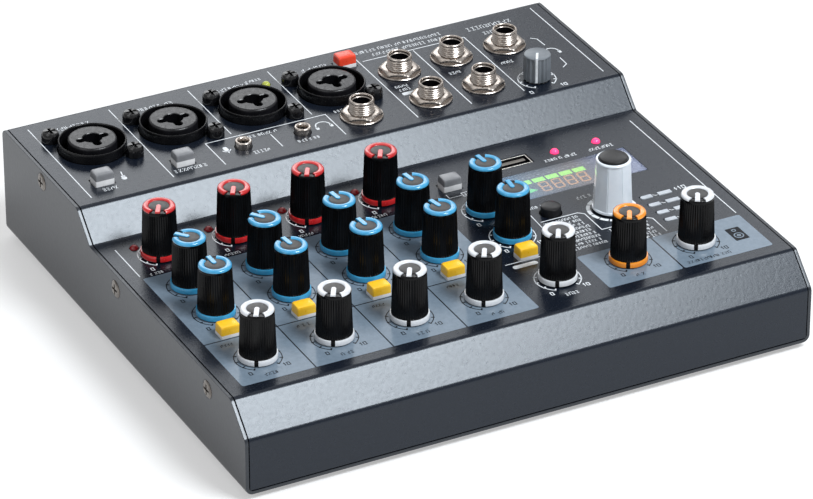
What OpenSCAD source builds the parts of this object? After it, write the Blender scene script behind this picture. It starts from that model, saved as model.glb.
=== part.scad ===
// Compact seven-channel audio mixing console: a folded steel case with pots, push
// switches, combo and jack sockets, a small media player section and a level meter.
// Lengths are in millimetres. X runs to the right, Y to the rear, Z up. The origin is
// the middle of the footprint, on the surface that the rubber feet stand on.
// Heights and depths below are counted from the bottom and the front of the case.

/* [Case] */
// Width over both side plates
case_w = 205.8; // [204:0.2:212]
// Depth from the front face to the rear wall
case_d = 188.6; // [187:0.2:194]
// Thickness of the steel sheet
sheet = 1.2; // [1:0.1:1.5]
// Inside radius of every fold in the sheet
bend_r = 1.4; // [1:0.1:2]
// Height of the top edge of the front face
front_h = 19.9; // [18.5:0.1:21]
// Depth of the bevel between the front face and the control panel
bevel_d = 10.4; // [9:0.1:12]
// Height of the control panel
panel_z = 30.05; // [29.5:0.05:31]
// Distance of the riser's lower fold from the front
riser_y = 117.1; // [116:0.1:118]
// Distance of the riser's upper fold from the front
riser_top_y = 126.9; // [126:0.1:128]
// Height of the connector panel
deck_z = 39.6; // [39:0.1:41]
// Gap between the cover and a side plate
cover_gap = 0.3; // [0.2:0.05:0.5]
// Height of the lower edge of the cover's front and rear walls
lip_z = 1.6; // [1.4:0.1:2.4]
// Distance from the front to the joint between the cover's front and rear sheets
seam_y = 115.5; // [115:0.1:116]
// Gap between the two sheets of the cover
seam_gap = 0.06; // [0.04:0.01:0.1]

/* [Feet] */
// Height of a rubber foot
foot_h = 2.2; // [2:0.1:4]
// Radius of a rubber foot
foot_r = 6; // [5:0.5:8]
// Distance of a foot's centre from the case's edges
foot_inset = 18; // [12:1:30]

/* [Channel strips] */
// Distance between neighbouring channel strips
strip_pitch = 27; // [26.8:0.1:27.2]
// Middle of the first channel strip
strip_x = -84.25; // [-85:0.25:-84]
// Row of gain knobs
gain_y = 102.4; // [101:0.2:103]
// Rear row of equaliser knobs
eq_high_y = 79.3; // [78:0.1:80]
// Front row of equaliser knobs
eq_low_y = 59.9; // [59:0.1:61]
// Row of volume knobs
volume_y = 29; // [27:0.2:30]
// Row of channel buttons
mute_y = 46.5; // [45:0.1:47]
// Offset of a channel button to the left of its strip
mute_dx = 2.2; // [2:0.1:3]

/* [Knobs] */
// Height of a control knob
knob_h = 18.2; // [15:0.2:19]
// Radius of the coloured collar at a knob's foot
knob_collar_r = 6.5; // [6:0.1:7]
// Radius of a knob just above its collar
knob_foot_r = 6.05; // [5.5:0.05:6.2]
// Radius of a knob at its top
knob_top_r = 5.45; // [4.5:0.05:5.6]
// Gap between a knob and the panel
knob_gap = 0.4; // [0.3:0.1:1]
// Radius of a potentiometer's shaft
shaft_r = 3; // [2.5:0.1:3]
// Travel of a potentiometer in degrees
pot_travel = 300; // [270:10:300]

/* [Buttons] */
// Width of a button cap
cap_w = 6.8; // [6.4:0.1:7.2]
// Depth of a button cap, front to rear
cap_d = 5.2; // [4.8:0.1:5.8]
// Height of a button cap above its panel
cap_h = 4.4; // [3:0.1:5]
// Travel of a latching push button
push_travel = 2.5; // [1.5:0.1:2.6]

/* [Sockets] */
// Radius of the plug hole in a 6.35 mm jack socket
jack_bore_r = 3.25; // [3.2:0.01:3.3]
// Radius of a 6.35 mm jack's threaded barrel
jack_thread_r = 4.35; // [4.3:0.05:4.6]
// Height of a 6.35 mm jack's rim above the connector panel
jack_rim = 6.7; // [5:0.1:7]
// Radius of the plug hole in a 3.5 mm jack socket
mini_bore_r = 1.8; // [1.78:0.01:1.85]
// Distance between neighbouring combo sockets
combo_pitch = 29.9; // [29.6:0.05:30]
// Middle of the first combo socket, left to right
combo_x = -81.3; // [-82:0.05:-81]
// Middle of the combo sockets, front to rear
combo_y = 162.05; // [161:0.05:163]
// Outer radius of a combo socket's ring
combo_r = 11.65; // [11.5:0.05:12]
// Height of a combo socket's ring above the connector panel
combo_rim = 3.4; // [3:0.1:5]
// Height of a combo socket's inner disc above the connector panel
combo_disc_rim = 4; // [3.5:0.1:5]

/* [Hidden] */
$fn = 48;
fold_steps = 6;
hair = 0.01;

STRIPS = 5;
GAIN_STRIPS = 4;
COMBOS = 4;

// How far the guard of the power switch stands out behind the rear wall
rear_proud = 2;
total_d = case_d + rear_proud;

// Inside faces of the panels
panel_under = panel_z - sheet;
deck_under = deck_z - sheet;
cover_w = case_w - 2 * (sheet + cover_gap);

// Circuit boards: top faces and thickness
board_t = 1.6;
main_top = 16;
jack_top = 12;
board_w = 194;

// Pointer angles of the knobs at rest, clockwise from the rear
POT_MIN = -pot_travel / 2;
EQ_HIGH_REST = [-39, -35, -5, -6, -4];
EQ_LOW_REST = [0, -5, -4, -11, 6];

// Controls that stand alone
FX_AT = [50.05, volume_y];
MAIN_AT = [75.54, volume_y];
PHONES_AT = [74.6, 136.9];
ENCODER_AT = [62, 61];
MODE_AT = [42.4, 67.8];
ROUTE_AT = [20.7, 98.6];
HI_Z_AT = [-87.9, 139.5];
LOW_CUT_AT = [-58.5, 139.4];
PHANTOM_AT = [20.5, 176.4];

// Sockets
JACKS = [[9.1, 140.9], [35, 163.2], [35.6, 140.9], [55.8, 164.3], [56.2, 141.4], [76.3, 163.7]];
MINI_JACKS = [[-35.8, 139.9], [-13.8, 139.6]];
COMBO_SCREW = [10.6, -10.85];
USB_AT = [47.2, 104.2];
USB_SLOT = [14, 6.6];

// Lamps
PEAK_LEDS = [for (i = [0:GAIN_STRIPS - 1]) [strip_at(i) - 6, 109.7]];
PLAYER_LEDS = [[63.5, 103.8], [79.5, 103.8]];
PHANTOM_LED = [-10, 175.8];
METER_ROWS = [46, 51.3, 56.8, 62.4];
METER_COLUMNS = [[75.75, 4.3], [82.7, 5]];
METER_PILL_H = 2;

// Display window: middle and size
WINDOW_AT = [62, 87.3];
WINDOW = [47, 16.8];

// Rear wall: middles of its fittings as [x, z]
ROCKER_AT = [-80, 20];
USB_REAR_AT = [56, 20];
DC_AT = [84, 20];
ROCKER_TILT = 7;
ROCKER_PIVOT = 4;

// Screws of the cover as [y, z], and their size
SIDE_SCREWS = [[27.2, 24.5], [96.9, 24.6], [155.6, 35.3]];
screw_r = 1.45;
screw_head_r = 3.1;
STANDOFFS_MAIN = [[-90, 14], [90, 14], [-90, 114], [90, 114]];
STANDOFFS_JACK = [[-93, 128], [93, 128], [-93, 180], [93, 180]];

// Outer line of the cover, from the front's lower edge over the top to the rear
COVER_LINE = [
    [0, lip_z],
    [0, front_h],
    [bevel_d, panel_z],
    [riser_y, panel_z],
    [riser_top_y, deck_z],
    [case_d, deck_z],
    [case_d, lip_z]
];

// Outer line of the bottom chassis, from the right side plate under the case to the left
CHASSIS_LINE = [[case_w / 2, 60], [case_w / 2, 0], [-case_w / 2, 0], [-case_w / 2, 60]];

function strip_at(i) = strip_x + i * strip_pitch;
function combo_at(i) = [combo_x + i * combo_pitch, combo_y];
function mute_at(i) = [strip_at(i) - mute_dx, mute_y];

function unit(v) = v / norm(v);
function left_of(v) = [-v.y, v.x];
function turned(v, a) = [v.x * cos(a) - v.y * sin(a), v.x * sin(a) + v.y * cos(a)];
function turn_angle(a, b) = atan2(a.x * b.y - a.y * b.x, a * b);
function reversed(list) = [for (i = [len(list) - 1:-1:0]) list[i]];

// One rounded corner of a folded sheet, seen from its outer line and shifted outward by d
function fold_corner(p, a, b, d) =
    let (
        turn = turn_angle(a, b),
        side = sign(turn),
        r = side < 0 ? bend_r + sheet : bend_r,
        centre = p - a * r * tan(abs(turn) / 2) + side * r * left_of(a)
    )
    [for (k = [0:fold_steps]) centre - (side * r - d) * left_of(turned(a, turn * k / fold_steps))];

// The whole line of a folded sheet, shifted outward by d
function fold_line(line, d) =
    let (
        last = len(line) - 1,
        way = [for (i = [1:last]) unit(line[i] - line[i - 1])]
    )
    concat(
        [line[0] + d * left_of(way[0])],
        [for (i = [1:last - 1]) each fold_corner(line[i], way[i - 1], way[i], d)],
        [line[last] + d * left_of(way[last - 1])]
    );

function fold_section(line) = concat(fold_line(line, 0), reversed(fold_line(line, -sheet)));

// Moves from the case's own corner to the row's origin
module in_case() {
    translate([0, -total_d / 2, foot_h]) children();
}

// Puts its children at a point of the plan, at height z
module at_plan(p, z = 0) {
    translate([p.x, p.y, z]) children();
}

// A block centred on a point of the plan, between two heights
module block(size, z0, z1) {
    translate([-size.x / 2, -size.y / 2, z0]) cube([size.x, size.y, z1 - z0]);
}

// An outline in [y, z] drawn across the case, w wide
module across(w) {
    rotate([90, 0, 90]) linear_extrude(w, center = true) children();
}

// Both sides of the case
module both_sides() {
    for (side = [0, 1]) mirror([side, 0, 0]) children();
}

// Screw hole places of a side plate or a cover flange
module at_side_screws() {
    both_sides() {
        for (s = SIDE_SCREWS) translate([case_w / 2, s.x, s.y]) rotate([0, -90, 0]) children();
    }
}

// Places of the rubber feet
module at_feet() {
    for (x = [-1, 1], y = [foot_inset, case_d - foot_inset]) {
        translate([x * (case_w / 2 - foot_inset), y, 0]) children();
    }
}

// ---- Case ----

module bottom_chassis() {
    flange_h = 9;
    color("#2b2f36") in_case() difference() {
        union() {
            intersection() {
                translate([0, case_d, 0]) rotate([90, 0, 0]) linear_extrude(case_d)
                    polygon(fold_section(CHASSIS_LINE));
                across(case_w + 2) polygon(concat(
                    [[0, 0]],
                    [for (i = [1:len(COVER_LINE) - 2]) each side_corner(i)],
                    [[case_d, 0]]
                ));
            }
            for (y = [sheet + 0.5, case_d - 2 * sheet - 0.5]) {
                translate([-cover_w / 2 + 6, y, sheet / 2]) cube([cover_w - 12, sheet, flange_h]);
            }
        }
        at_side_screws() {
            translate([0, 0, -hair]) cylinder(r1 = screw_head_r + 0.15, r2 = screw_r + 0.2, h = sheet);
            cylinder(r = screw_r + 0.2, h = 3 * sheet);
        }
        at_feet() translate([0, 0, -1]) cylinder(r = screw_r + 0.2, h = 4);
    }
}

// A corner of the side plate's outline, rounded like the cover's fold beside it
function side_corner(i) = fold_corner(
    COVER_LINE[i],
    unit(COVER_LINE[i] - COVER_LINE[i - 1]),
    unit(COVER_LINE[i + 1] - COVER_LINE[i]),
    0
);

module top_cover() {
    tab_w = 14;
    tab_h = 11;
    color("#3a3f47") in_case() difference() {
        union() {
            across(cover_w) polygon(fold_section(COVER_LINE));
            both_sides() {
                for (s = SIDE_SCREWS) {
                    top = s.x > riser_top_y ? deck_z : panel_z;
                    translate([cover_w / 2 - sheet, s.x - tab_w / 2, top - sheet / 2 - tab_h])
                        cube([sheet, tab_w, tab_h]);
                }
            }
        }
        at_side_screws() cylinder(r = screw_r + 0.1, h = 4 * sheet);
        translate([-case_w / 2, seam_y, panel_under - 1]) cube([case_w, seam_gap, sheet + 2]);
        cover_panel_holes();
        cover_deck_holes();
        cover_rear_holes();
    }
}

// Openings of the control panel
module cover_panel_holes() {
    pot_hole_r = shaft_r + 1.3;
    for (p = main_pots()) at_plan(p, panel_under - 1) cylinder(r = pot_hole_r, h = 4);
    for (i = [0:STRIPS - 1]) at_plan(mute_at(i)) cap_hole(panel_z);
    at_plan(ROUTE_AT) cap_hole(panel_z);
    at_plan(MODE_AT, panel_under - 1) cylinder(r = 3.9, h = 4);
    for (p = concat(PEAK_LEDS, PLAYER_LEDS)) at_plan(p, panel_under - 1) cylinder(r = 1.65, h = 4);
    for (c = METER_COLUMNS, y = METER_ROWS) {
        at_plan([c[0], y]) block([c[1] + 0.3, METER_PILL_H + 0.3], panel_under - 1, panel_z + 1);
    }
    at_plan(USB_AT) block(USB_SLOT, panel_under - 1, panel_z + 1);
    at_plan(WINDOW_AT) block(WINDOW + [0.4, 0.4], panel_under - 1, panel_z + 1);
}

// Openings of the connector panel
module cover_deck_holes() {
    for (i = [0:COMBOS - 1]) at_plan(combo_at(i), deck_under - 1) {
        cylinder(r = combo_r + 0.3, h = 4);
        for (side = [-1, 1]) at_plan(side * COMBO_SCREW) cylinder(r = screw_r + 0.2, h = 4);
    }
    for (p = JACKS) at_plan(p, deck_under - 1) cylinder(r = jack_thread_r + 0.2, h = 4);
    for (p = MINI_JACKS) at_plan(p, deck_under - 1) cylinder(r = 3.1, h = 4);
    for (p = [HI_Z_AT, LOW_CUT_AT, PHANTOM_AT]) at_plan(p) cap_hole(deck_z);
    at_plan(PHANTOM_LED, deck_under - 1) cylinder(r = 1.65, h = 4);
    at_plan(PHONES_AT, deck_under - 1) cylinder(r = shaft_r + 1.3, h = 4);
}

// Openings of the rear wall
module cover_rear_holes() {
    rear_hole(ROCKER_AT, [19.1, 13.1]);
    rear_hole(USB_REAR_AT, [12.4, 11.4]);
    translate([DC_AT.x, case_d + 1, DC_AT.y]) rotate([90, 0, 0]) cylinder(r = 4.2, h = 4);
}

module rear_hole(p, size) {
    translate([p.x - size.x / 2, case_d - 3, p.y - size.y / 2]) cube([size.x, 4, size.y]);
}

module cap_hole(top) {
    block([cap_w + 0.7, cap_d + 0.7], top - sheet - 1, top + 1);
}

module case_screws() {
    proud = 0.5;
    color("#15161a") in_case() {
        at_side_screws() difference() {
            union() {
                translate([0, 0, -proud]) cylinder(r1 = 2, r2 = screw_head_r, h = proud);
                cylinder(r1 = screw_head_r, r2 = screw_r, h = sheet);
                cylinder(r = screw_r, h = 5);
            }
            translate([0, 0, -proud]) cross_recess(screw_head_r);
        }
        at_feet() difference() {
            union() {
                translate([0, 0, 0.9 - foot_h]) cylinder(r = screw_head_r, h = 0.9);
                translate([0, 0, 0.9 - foot_h]) cylinder(r = screw_r, h = foot_h + sheet + 1.5);
            }
            translate([0, 0, 0.9 - foot_h]) cross_recess(screw_head_r);
        }
    }
}

// Cross-shaped driver recess, cut upward from z = 0
module cross_recess(r) {
    for (a = [0, 90]) rotate(a) block([1.2 * r, 0.25 * r], -hair, 0.25 * r);
}

module rubber_feet() {
    color("#101113") in_case() at_feet() difference() {
        translate([0, 0, -foot_h]) cylinder(r1 = foot_r - 0.5, r2 = foot_r, h = foot_h);
        translate([0, 0, -foot_h - 1]) cylinder(r = screw_head_r + 0.3, h = 1 + 1.8);
        translate([0, 0, -foot_h]) cylinder(r = screw_r + 0.1, h = foot_h + 1);
    }
}

// ---- Circuit boards ----

function main_pots() = concat(
    [for (i = [0:GAIN_STRIPS - 1]) [strip_at(i), gain_y]],
    [for (i = [0:STRIPS - 1]) [strip_at(i), eq_high_y]],
    [for (i = [0:STRIPS - 1]) [strip_at(i), eq_low_y]],
    [for (i = [0:STRIPS - 1]) [strip_at(i), volume_y]],
    [FX_AT, MAIN_AT, ENCODER_AT]
);

module board(y0, y1, top, holes) {
    difference() {
        translate([-board_w / 2, y0, top - board_t]) cube([board_w, y1 - y0, board_t]);
        for (p = holes) at_plan(p, top - board_t - 1) cylinder(r = screw_r + 0.15, h = board_t + 2);
    }
}

module main_board() {
    color("#1f5a35") in_case() board(8, 120, main_top, STANDOFFS_MAIN);
}

module jack_board() {
    color("#1f5a35") in_case() board(124.5, 183.5, jack_top, STANDOFFS_JACK);
}

module board_standoffs() {
    color("silver") in_case() {
        for (p = STANDOFFS_MAIN) standoff(p, main_top);
        for (p = STANDOFFS_JACK) standoff(p, jack_top);
    }
}

// A round spacer on the chassis floor, and the screw that holds the board on it
module standoff(p, top) {
    at_plan(p) {
        difference() {
            translate([0, 0, sheet]) cylinder(r = 2.7, h = top - board_t - sheet);
            translate([0, 0, top - board_t - 7]) cylinder(r = screw_r + 0.05, h = 8);
        }
        difference() {
            union() {
                translate([0, 0, top]) cylinder(r = 2.6, h = 1.6);
                translate([0, 0, top - board_t - 6]) cylinder(r = screw_r, h = board_t + 7);
            }
            translate([0, 0, top + 1]) block([2.6, 0.6], 0, 1);
        }
    }
}

module ribbon_cable() {
    ribbon_w = 30;
    ribbon_t = 0.9;
    y0 = 114;
    y1 = 129;
    plug_h = 3;
    loft = 6;
    color("#9aa0a6") in_case() {
        translate([-20, 0, 0]) {
            at_plan([0, y0]) block([ribbon_w + 4, 5], main_top, main_top + plug_h);
            at_plan([0, y1]) block([ribbon_w + 4, 5], jack_top, jack_top + plug_h);
            at_plan([0, y0]) block([ribbon_w, ribbon_t], main_top + plug_h, main_top + loft);
            at_plan([0, y1]) block([ribbon_w, ribbon_t], jack_top + plug_h, main_top + loft);
            at_plan([0, (y0 + y1) / 2])
                block([ribbon_w, y1 - y0 + ribbon_t], main_top + loft, main_top + loft + ribbon_t);
        }
    }
}

// ---- Combo sockets ----

combo_well_r = combo_r - 0.75;
combo_disc_r = 8.35;
combo_floor = jack_top + 4;

module at_combos() {
    for (i = [0:COMBOS - 1]) at_plan(combo_at(i)) children();
}

module combo_housings() {
    color("#17181b") in_case() at_combos() difference() {
        union() {
            translate([0, 0, jack_top]) cylinder(r = combo_r - 0.5, h = deck_z - jack_top);
            translate([0, 0, deck_under]) cylinder(r = combo_r, h = sheet + combo_rim);
            translate([0, 0, deck_under - 2.1]) cylinder(r = combo_r + 0.9, h = 2);
            for (side = [-1, 1]) at_plan(side * COMBO_SCREW, deck_under - 2.1) cylinder(r = 3.2, h = 2);
        }
        translate([0, 0, combo_floor]) cylinder(r = combo_well_r, h = 60);
        for (side = [-1, 1]) at_plan(side * COMBO_SCREW, deck_under - 3) cylinder(r = screw_r + 0.1, h = 4);
    }
}

module combo_inserts() {
    lobe_depth = 3;
    lobe_r = 1.3;
    lobe_at = 4.4;
    top = deck_z + combo_disc_rim;
    color("#2a2c30") in_case() at_combos() difference() {
        translate([0, 0, combo_floor]) cylinder(r = combo_disc_r, h = top - combo_floor);
        translate([0, 0, combo_floor + 1]) cylinder(r = jack_bore_r, h = top);
        for (a = [0, 180, 270]) rotate(a) {
            translate([lobe_at, 0, top - lobe_depth]) cylinder(r = lobe_r, h = lobe_depth + 1);
            translate([0, -lobe_r, top - lobe_depth]) cube([lobe_at, 2 * lobe_r, lobe_depth + 1]);
        }
    }
}

module combo_screws() {
    head_h = 3.9;
    color("#101113") in_case() at_combos() {
        for (side = [-1, 1]) at_plan(side * COMBO_SCREW) difference() {
            union() {
                translate([0, 0, deck_z]) cylinder(r = screw_head_r, h = head_h - 1);
                translate([0, 0, deck_z + head_h - 1]) cylinder(r1 = screw_head_r, r2 = 2, h = 1);
                translate([0, 0, deck_under - 5]) cylinder(r = screw_r, h = 6);
            }
            for (a = [0, 90]) translate([0, 0, deck_z + head_h]) rotate(a) block([2.8, 0.7], -1.2, 1);
        }
    }
}

// ---- Jack sockets ----

jack_w = 14;
jack_body_top = deck_under - 3;
jack_floor = jack_top + 3;
washer_r = 7.5;
washer_t = 0.7;
nut_h = 1.6;
nut_flats = 12.6;

module at_jacks() {
    for (p = JACKS) at_plan(p) children();
}

module jack_bodies() {
    color("#17181b") in_case() at_jacks() difference() {
        block([jack_w, jack_w], jack_top, jack_body_top);
        translate([0, 0, jack_floor]) cylinder(r = jack_thread_r + 0.1, h = 40);
    }
}

module jack_barrels() {
    chamfer = 0.35;
    top = deck_z + jack_rim;
    color("#c9c1b4") in_case() at_jacks() difference() {
        union() {
            translate([0, 0, jack_floor]) cylinder(r = jack_thread_r, h = top - jack_floor);
            translate([0, 0, jack_body_top]) cylinder(r = 6, h = deck_under - jack_body_top);
        }
        translate([0, 0, jack_floor - 1]) cylinder(r = jack_bore_r, h = 60);
        translate([0, 0, top - chamfer])
            cylinder(r1 = jack_bore_r, r2 = jack_bore_r + 2 * chamfer, h = 2 * chamfer);
    }
}

module jack_nuts() {
    nut_z = deck_z + washer_t;
    color("#c9c1b4") in_case() at_jacks() {
        difference() {
            translate([0, 0, deck_z]) cylinder(r = washer_r, h = washer_t);
            translate([0, 0, deck_z - 1]) cylinder(r = jack_thread_r + 0.1, h = 4);
        }
        difference() {
            translate([0, 0, nut_z]) cylinder(r = nut_flats / sqrt(3), h = nut_h, $fn = 6);
            translate([0, 0, nut_z - 1]) cylinder(r = jack_thread_r + 0.1, h = nut_h + 2);
        }
    }
}

module mini_jacks() {
    rim = 2.4;
    nose_r = 2.9;
    floor_z = deck_under - 14;
    for (p = MINI_JACKS) color("#c9c1b4") in_case() at_plan(p) difference() {
        union() {
            block([7, 10], jack_top, deck_under - 0.1);
            translate([0, 0, deck_under - 1]) cylinder(r = nose_r, h = sheet + rim + 1);
        }
        translate([0, 0, floor_z]) cylinder(r = mini_bore_r, h = 40);
    }
}

module usb_sockets() {
    color("#b9bcc0") in_case() {
        at_plan(USB_AT) usb_a(panel_z - 0.15, main_top);
        translate([USB_REAR_AT.x, case_d, USB_REAR_AT.y]) rotate([-90, 0, 0]) usb_b(16);
    }
}

// Upright type A socket: an open metal shell and the tongue inside it
module usb_a(top, bottom) {
    shell = [13.2, 5.8];
    wall = 0.35;
    difference() {
        block(shell, bottom, top);
        block(shell - [2 * wall, 2 * wall], bottom + 1, top + 1);
    }
    translate([0, 1.2, 0]) block([11.4, 1.8], bottom + 1, top - 0.8);
}

// Type B socket that looks along +Z, its mouth at z = 0
module usb_b(depth) {
    difference() {
        block([12, 11], -depth, 0);
        block([8.5, 7.8], 1 - depth, 1);
    }
    block([5.4, 3.2], 1 - depth, -1);
}

// ---- Pots, switches and encoder below the panels ----

bush_r = shaft_r + 0.75;
bush_bore_r = shaft_r + 0.2;
pot_w = 9.8;
pot_h = 6.8;

// A potentiometer on a board, its bushing reaching into the panel above it
module pot(board_top, panel_top) {
    difference() {
        union() {
            block([pot_w, pot_w], board_top, board_top + pot_h);
            translate([0, 0, board_top + pot_h - 1])
                cylinder(r = bush_r, h = panel_top - board_top - pot_h + 0.6);
        }
        translate([0, 0, board_top + 1]) cylinder(r = bush_bore_r, h = 60);
    }
}

module potentiometers() {
    color("#6f7377") in_case() {
        for (i = [0:len(main_pots()) - 2]) at_plan(main_pots()[i]) pot(main_top, panel_z);
        at_plan(PHONES_AT) pot(jack_top, deck_z);
    }
}

module encoder_body() {
    w = 12;
    color("#6f7377") in_case() at_plan(ENCODER_AT) difference() {
        union() {
            block([w, w], main_top, main_top + pot_h);
            translate([0, 0, main_top + pot_h - 1])
                cylinder(r = bush_r, h = panel_z - main_top - pot_h + 0.6);
        }
        translate([0, 0, main_top + 0.3]) cylinder(r = bush_bore_r, h = 60);
    }
}

// Latching push switch below a button cap
switch_w = 8;
switch_drop = 4.4;
stem_r = 1.7;
mode_gap = 0.8;

module push_switch(board_top, panel_top) {
    top = panel_top - sheet - switch_drop;
    difference() {
        block([switch_w, switch_w], board_top, top);
        translate([0, 0, board_top + 1]) cylinder(r = stem_r + 0.4, h = 60);
    }
}

module switch_bodies() {
    color("#e6e3da") in_case() {
        for (i = [0:STRIPS - 1]) at_plan(mute_at(i)) push_switch(main_top, panel_z);
        at_plan(ROUTE_AT) push_switch(main_top, panel_z);
        for (p = [HI_Z_AT, LOW_CUT_AT, PHANTOM_AT]) at_plan(p) push_switch(jack_top, deck_z);
        at_plan(MODE_AT) block([6, 6], main_top, main_top + 3.8);
    }
}

// ---- Display and lamps ----

module display_module() {
    color("#1b1d22") in_case() at_plan(WINDOW_AT) {
        block(WINDOW + [3, 3], panel_under - 6, panel_under - 0.05);
        for (x = [-20, 20], y = [-7, 7]) at_plan([x, y]) block([2, 2], main_top, panel_under - 6);
    }
}

module display_window() {
    color("#8fa3c8") in_case() at_plan(WINDOW_AT) block(WINDOW, panel_under - 0.05, panel_z + 0.1);
}

// A 3 mm lamp in a panel hole, its leads on the board
module lamp(panel_top, board_top) {
    r = 1.5;
    body_z = panel_top - sheet - 2;
    translate([0, 0, body_z]) cylinder(r = r, h = sheet + 1.7);
    translate([0, 0, panel_top - 0.3]) sphere(r = r);
    translate([0, 0, body_z]) cylinder(r = 1.9, h = 0.8);
    for (x = [-0.9, 0.9]) at_plan([x, 0]) block([0.5, 0.5], board_top, body_z + hair);
}

module indicator_leds() {
    color("#8c1420") in_case() {
        for (p = concat(PEAK_LEDS, PLAYER_LEDS)) at_plan(p) lamp(panel_z, main_top);
        at_plan(PHANTOM_LED) lamp(deck_z, jack_top);
    }
}

module meter_leds() {
    color("#d8dad4") in_case() {
        for (c = METER_COLUMNS, y = METER_ROWS) at_plan([c[0], y]) {
            block([c[1], METER_PILL_H], panel_under - 5, panel_z + 0.15);
            for (x = [-1, 1]) at_plan([x, 0]) block([0.5, 0.5], main_top, panel_under - 5);
        }
    }
}

// ---- Rear fittings ----

module power_inlet() {
    depth = 14;
    color("#17181b") in_case() translate([DC_AT.x, case_d, DC_AT.y]) rotate([-90, 0, 0]) {
        difference() {
            union() {
                block([9, 11], -depth, -sheet - 0.05);
                translate([0, 0, -3]) cylinder(r = 4, h = 3);
            }
            translate([0, 0, -10]) cylinder(r = 2.8, h = 20);
        }
        translate([0, 0, -10]) cylinder(r = 1, h = 9);
    }
}

rocker_opening = [18.2, 10.6];
rocker_pin_r = 0.9;

// Guarded frame of the power switch; the rear wall's outer face is at z = 0 here
module power_switch_body() {
    depth = 14;
    color("#17181b") in_case() translate([ROCKER_AT.x, case_d, ROCKER_AT.y]) rotate([-90, 0, 0]) {
        difference() {
            union() {
                block([18.9, 12.9], -depth, 1);
                block([21.4, 15.4], 0, rear_proud);
            }
            block(rocker_opening, 3 - depth, rear_proud + 1);
            translate([0, 7, -ROCKER_PIVOT]) rotate([90, 0, 0]) cylinder(r = rocker_pin_r + 0.1, h = 14);
        }
    }
}

// The rocker lies in the plane of [x, distance behind its pivot] and is 10 mm high
module power_rocker() {
    half = 7.8;
    high = 4.9;
    low = 4;
    rocker_h = 10;
    color("#1c1d20") in_case() translate([ROCKER_AT.x, case_d - ROCKER_PIVOT, ROCKER_AT.y])
        rotate(-ROCKER_TILT) {
            linear_extrude(rocker_h, center = true) polygon([
                [-half, high], [-half, 1], [-2.5, -2.5], [2.5, -2.5], [half, 1], [half, high], [0, low]
            ]);
            cylinder(r = rocker_pin_r, h = rocker_h + 2.2, center = true);
        }
}

// ---- Knobs ----

// A knob on its shaft over a panel; its pointer looks to angle, clockwise from the rear
module knob(panel_top, board_top, angle) {
    foot = panel_top + knob_gap;
    collar_h = 1.9;
    top_h = 0.5;
    body_h = knob_h - collar_h - top_h;
    shaft_top = foot + 13;
    rotate(-angle) {
        difference() {
            union() {
                translate([0, 0, foot]) cylinder(r = knob_collar_r, h = collar_h);
                translate([0, 0, foot + collar_h]) cylinder(r1 = knob_foot_r, r2 = knob_top_r, h = body_h);
                translate([0, 0, foot + collar_h + body_h])
                    cylinder(r1 = knob_top_r, r2 = knob_top_r - 0.5, h = top_h);
                translate([-0.8, 0, foot + knob_h - hair]) cube([1.6, knob_top_r - 0.6, 0.2]);
            }
            translate([0, 0, foot - 1]) cylinder(r = shaft_r + 0.9, h = 3);
            translate([0, 0, foot - 1]) cylinder(r = shaft_r + 0.05, h = shaft_top - foot + 1.2);
        }
        translate([0, 0, board_top + 1.3]) cylinder(r = shaft_r, h = shaft_top - board_top - 1.3);
    }
}

module gain_knob(i) {
    color("#c8262c") in_case() at_plan([strip_at(i), gain_y]) knob(panel_z, main_top, POT_MIN);
}

module eq_high_knob(i) {
    color("#2e9bd6") in_case() at_plan([strip_at(i), eq_high_y])
        knob(panel_z, main_top, EQ_HIGH_REST[i]);
}

module eq_low_knob(i) {
    color("#2e9bd6") in_case() at_plan([strip_at(i), eq_low_y])
        knob(panel_z, main_top, EQ_LOW_REST[i]);
}

module volume_knob(i) {
    color("#e9e9ea") in_case() at_plan([strip_at(i), volume_y]) knob(panel_z, main_top, POT_MIN);
}

module fx_knob() {
    color("#f08a1d") in_case() at_plan(FX_AT) knob(panel_z, main_top, POT_MIN);
}

module main_knob() {
    color("#e9e9ea") in_case() at_plan(MAIN_AT) knob(panel_z, main_top, POT_MIN);
}

// Small ribbed knob of the headphones output
module phones_knob() {
    foot = deck_z + knob_gap;
    h = 9.6;
    r = 4.8;
    shaft_top = foot + 7;
    color("#777c82") in_case() at_plan(PHONES_AT) rotate(-POT_MIN) {
        difference() {
            union() {
                translate([0, 0, foot]) cylinder(r = r, h = h);
                translate([-0.4, 0, foot + h - hair]) cube([0.8, r - 0.2, 0.15]);
            }
            translate([0, 0, foot - 1]) cylinder(r = shaft_r + 0.9, h = 2.5);
            translate([0, 0, foot - 1]) cylinder(r = shaft_r + 0.05, h = shaft_top - foot + 1.2);
        }
        translate([0, 0, jack_top + 1.3]) cylinder(r = shaft_r, h = shaft_top - jack_top - 1.3);
    }
}

// Encoder: a shaft that slides in its body, and the drum that turns on the shaft
encoder_foot = panel_z + 0.8;
encoder_shaft_top = encoder_foot + 13;

module encoder_shaft() {
    shaft_foot = main_top + 0.9;
    color("#d9d4c4") in_case() at_plan(ENCODER_AT, shaft_foot)
        cylinder(r = shaft_r, h = encoder_shaft_top - shaft_foot);
}

module encoder_knob() {
    h = 18.4;
    cap_rise = 1;
    foot = encoder_foot;
    color("#aab4be") in_case() at_plan(ENCODER_AT) {
        difference() {
            union() {
                translate([0, 0, foot]) cylinder(r1 = 6.9, r2 = 6, h = h);
                translate([0, 0, foot + h - hair]) cylinder(r1 = 5, r2 = 4.5, h = cap_rise + hair);
            }
            translate([0, 0, foot - 1]) cylinder(r = shaft_r + 0.9, h = 3);
            translate([0, 0, foot - 1]) cylinder(r = shaft_r + 0.05, h = encoder_shaft_top - foot + 1.2);
        }
    }
}

// ---- Buttons ----

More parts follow.
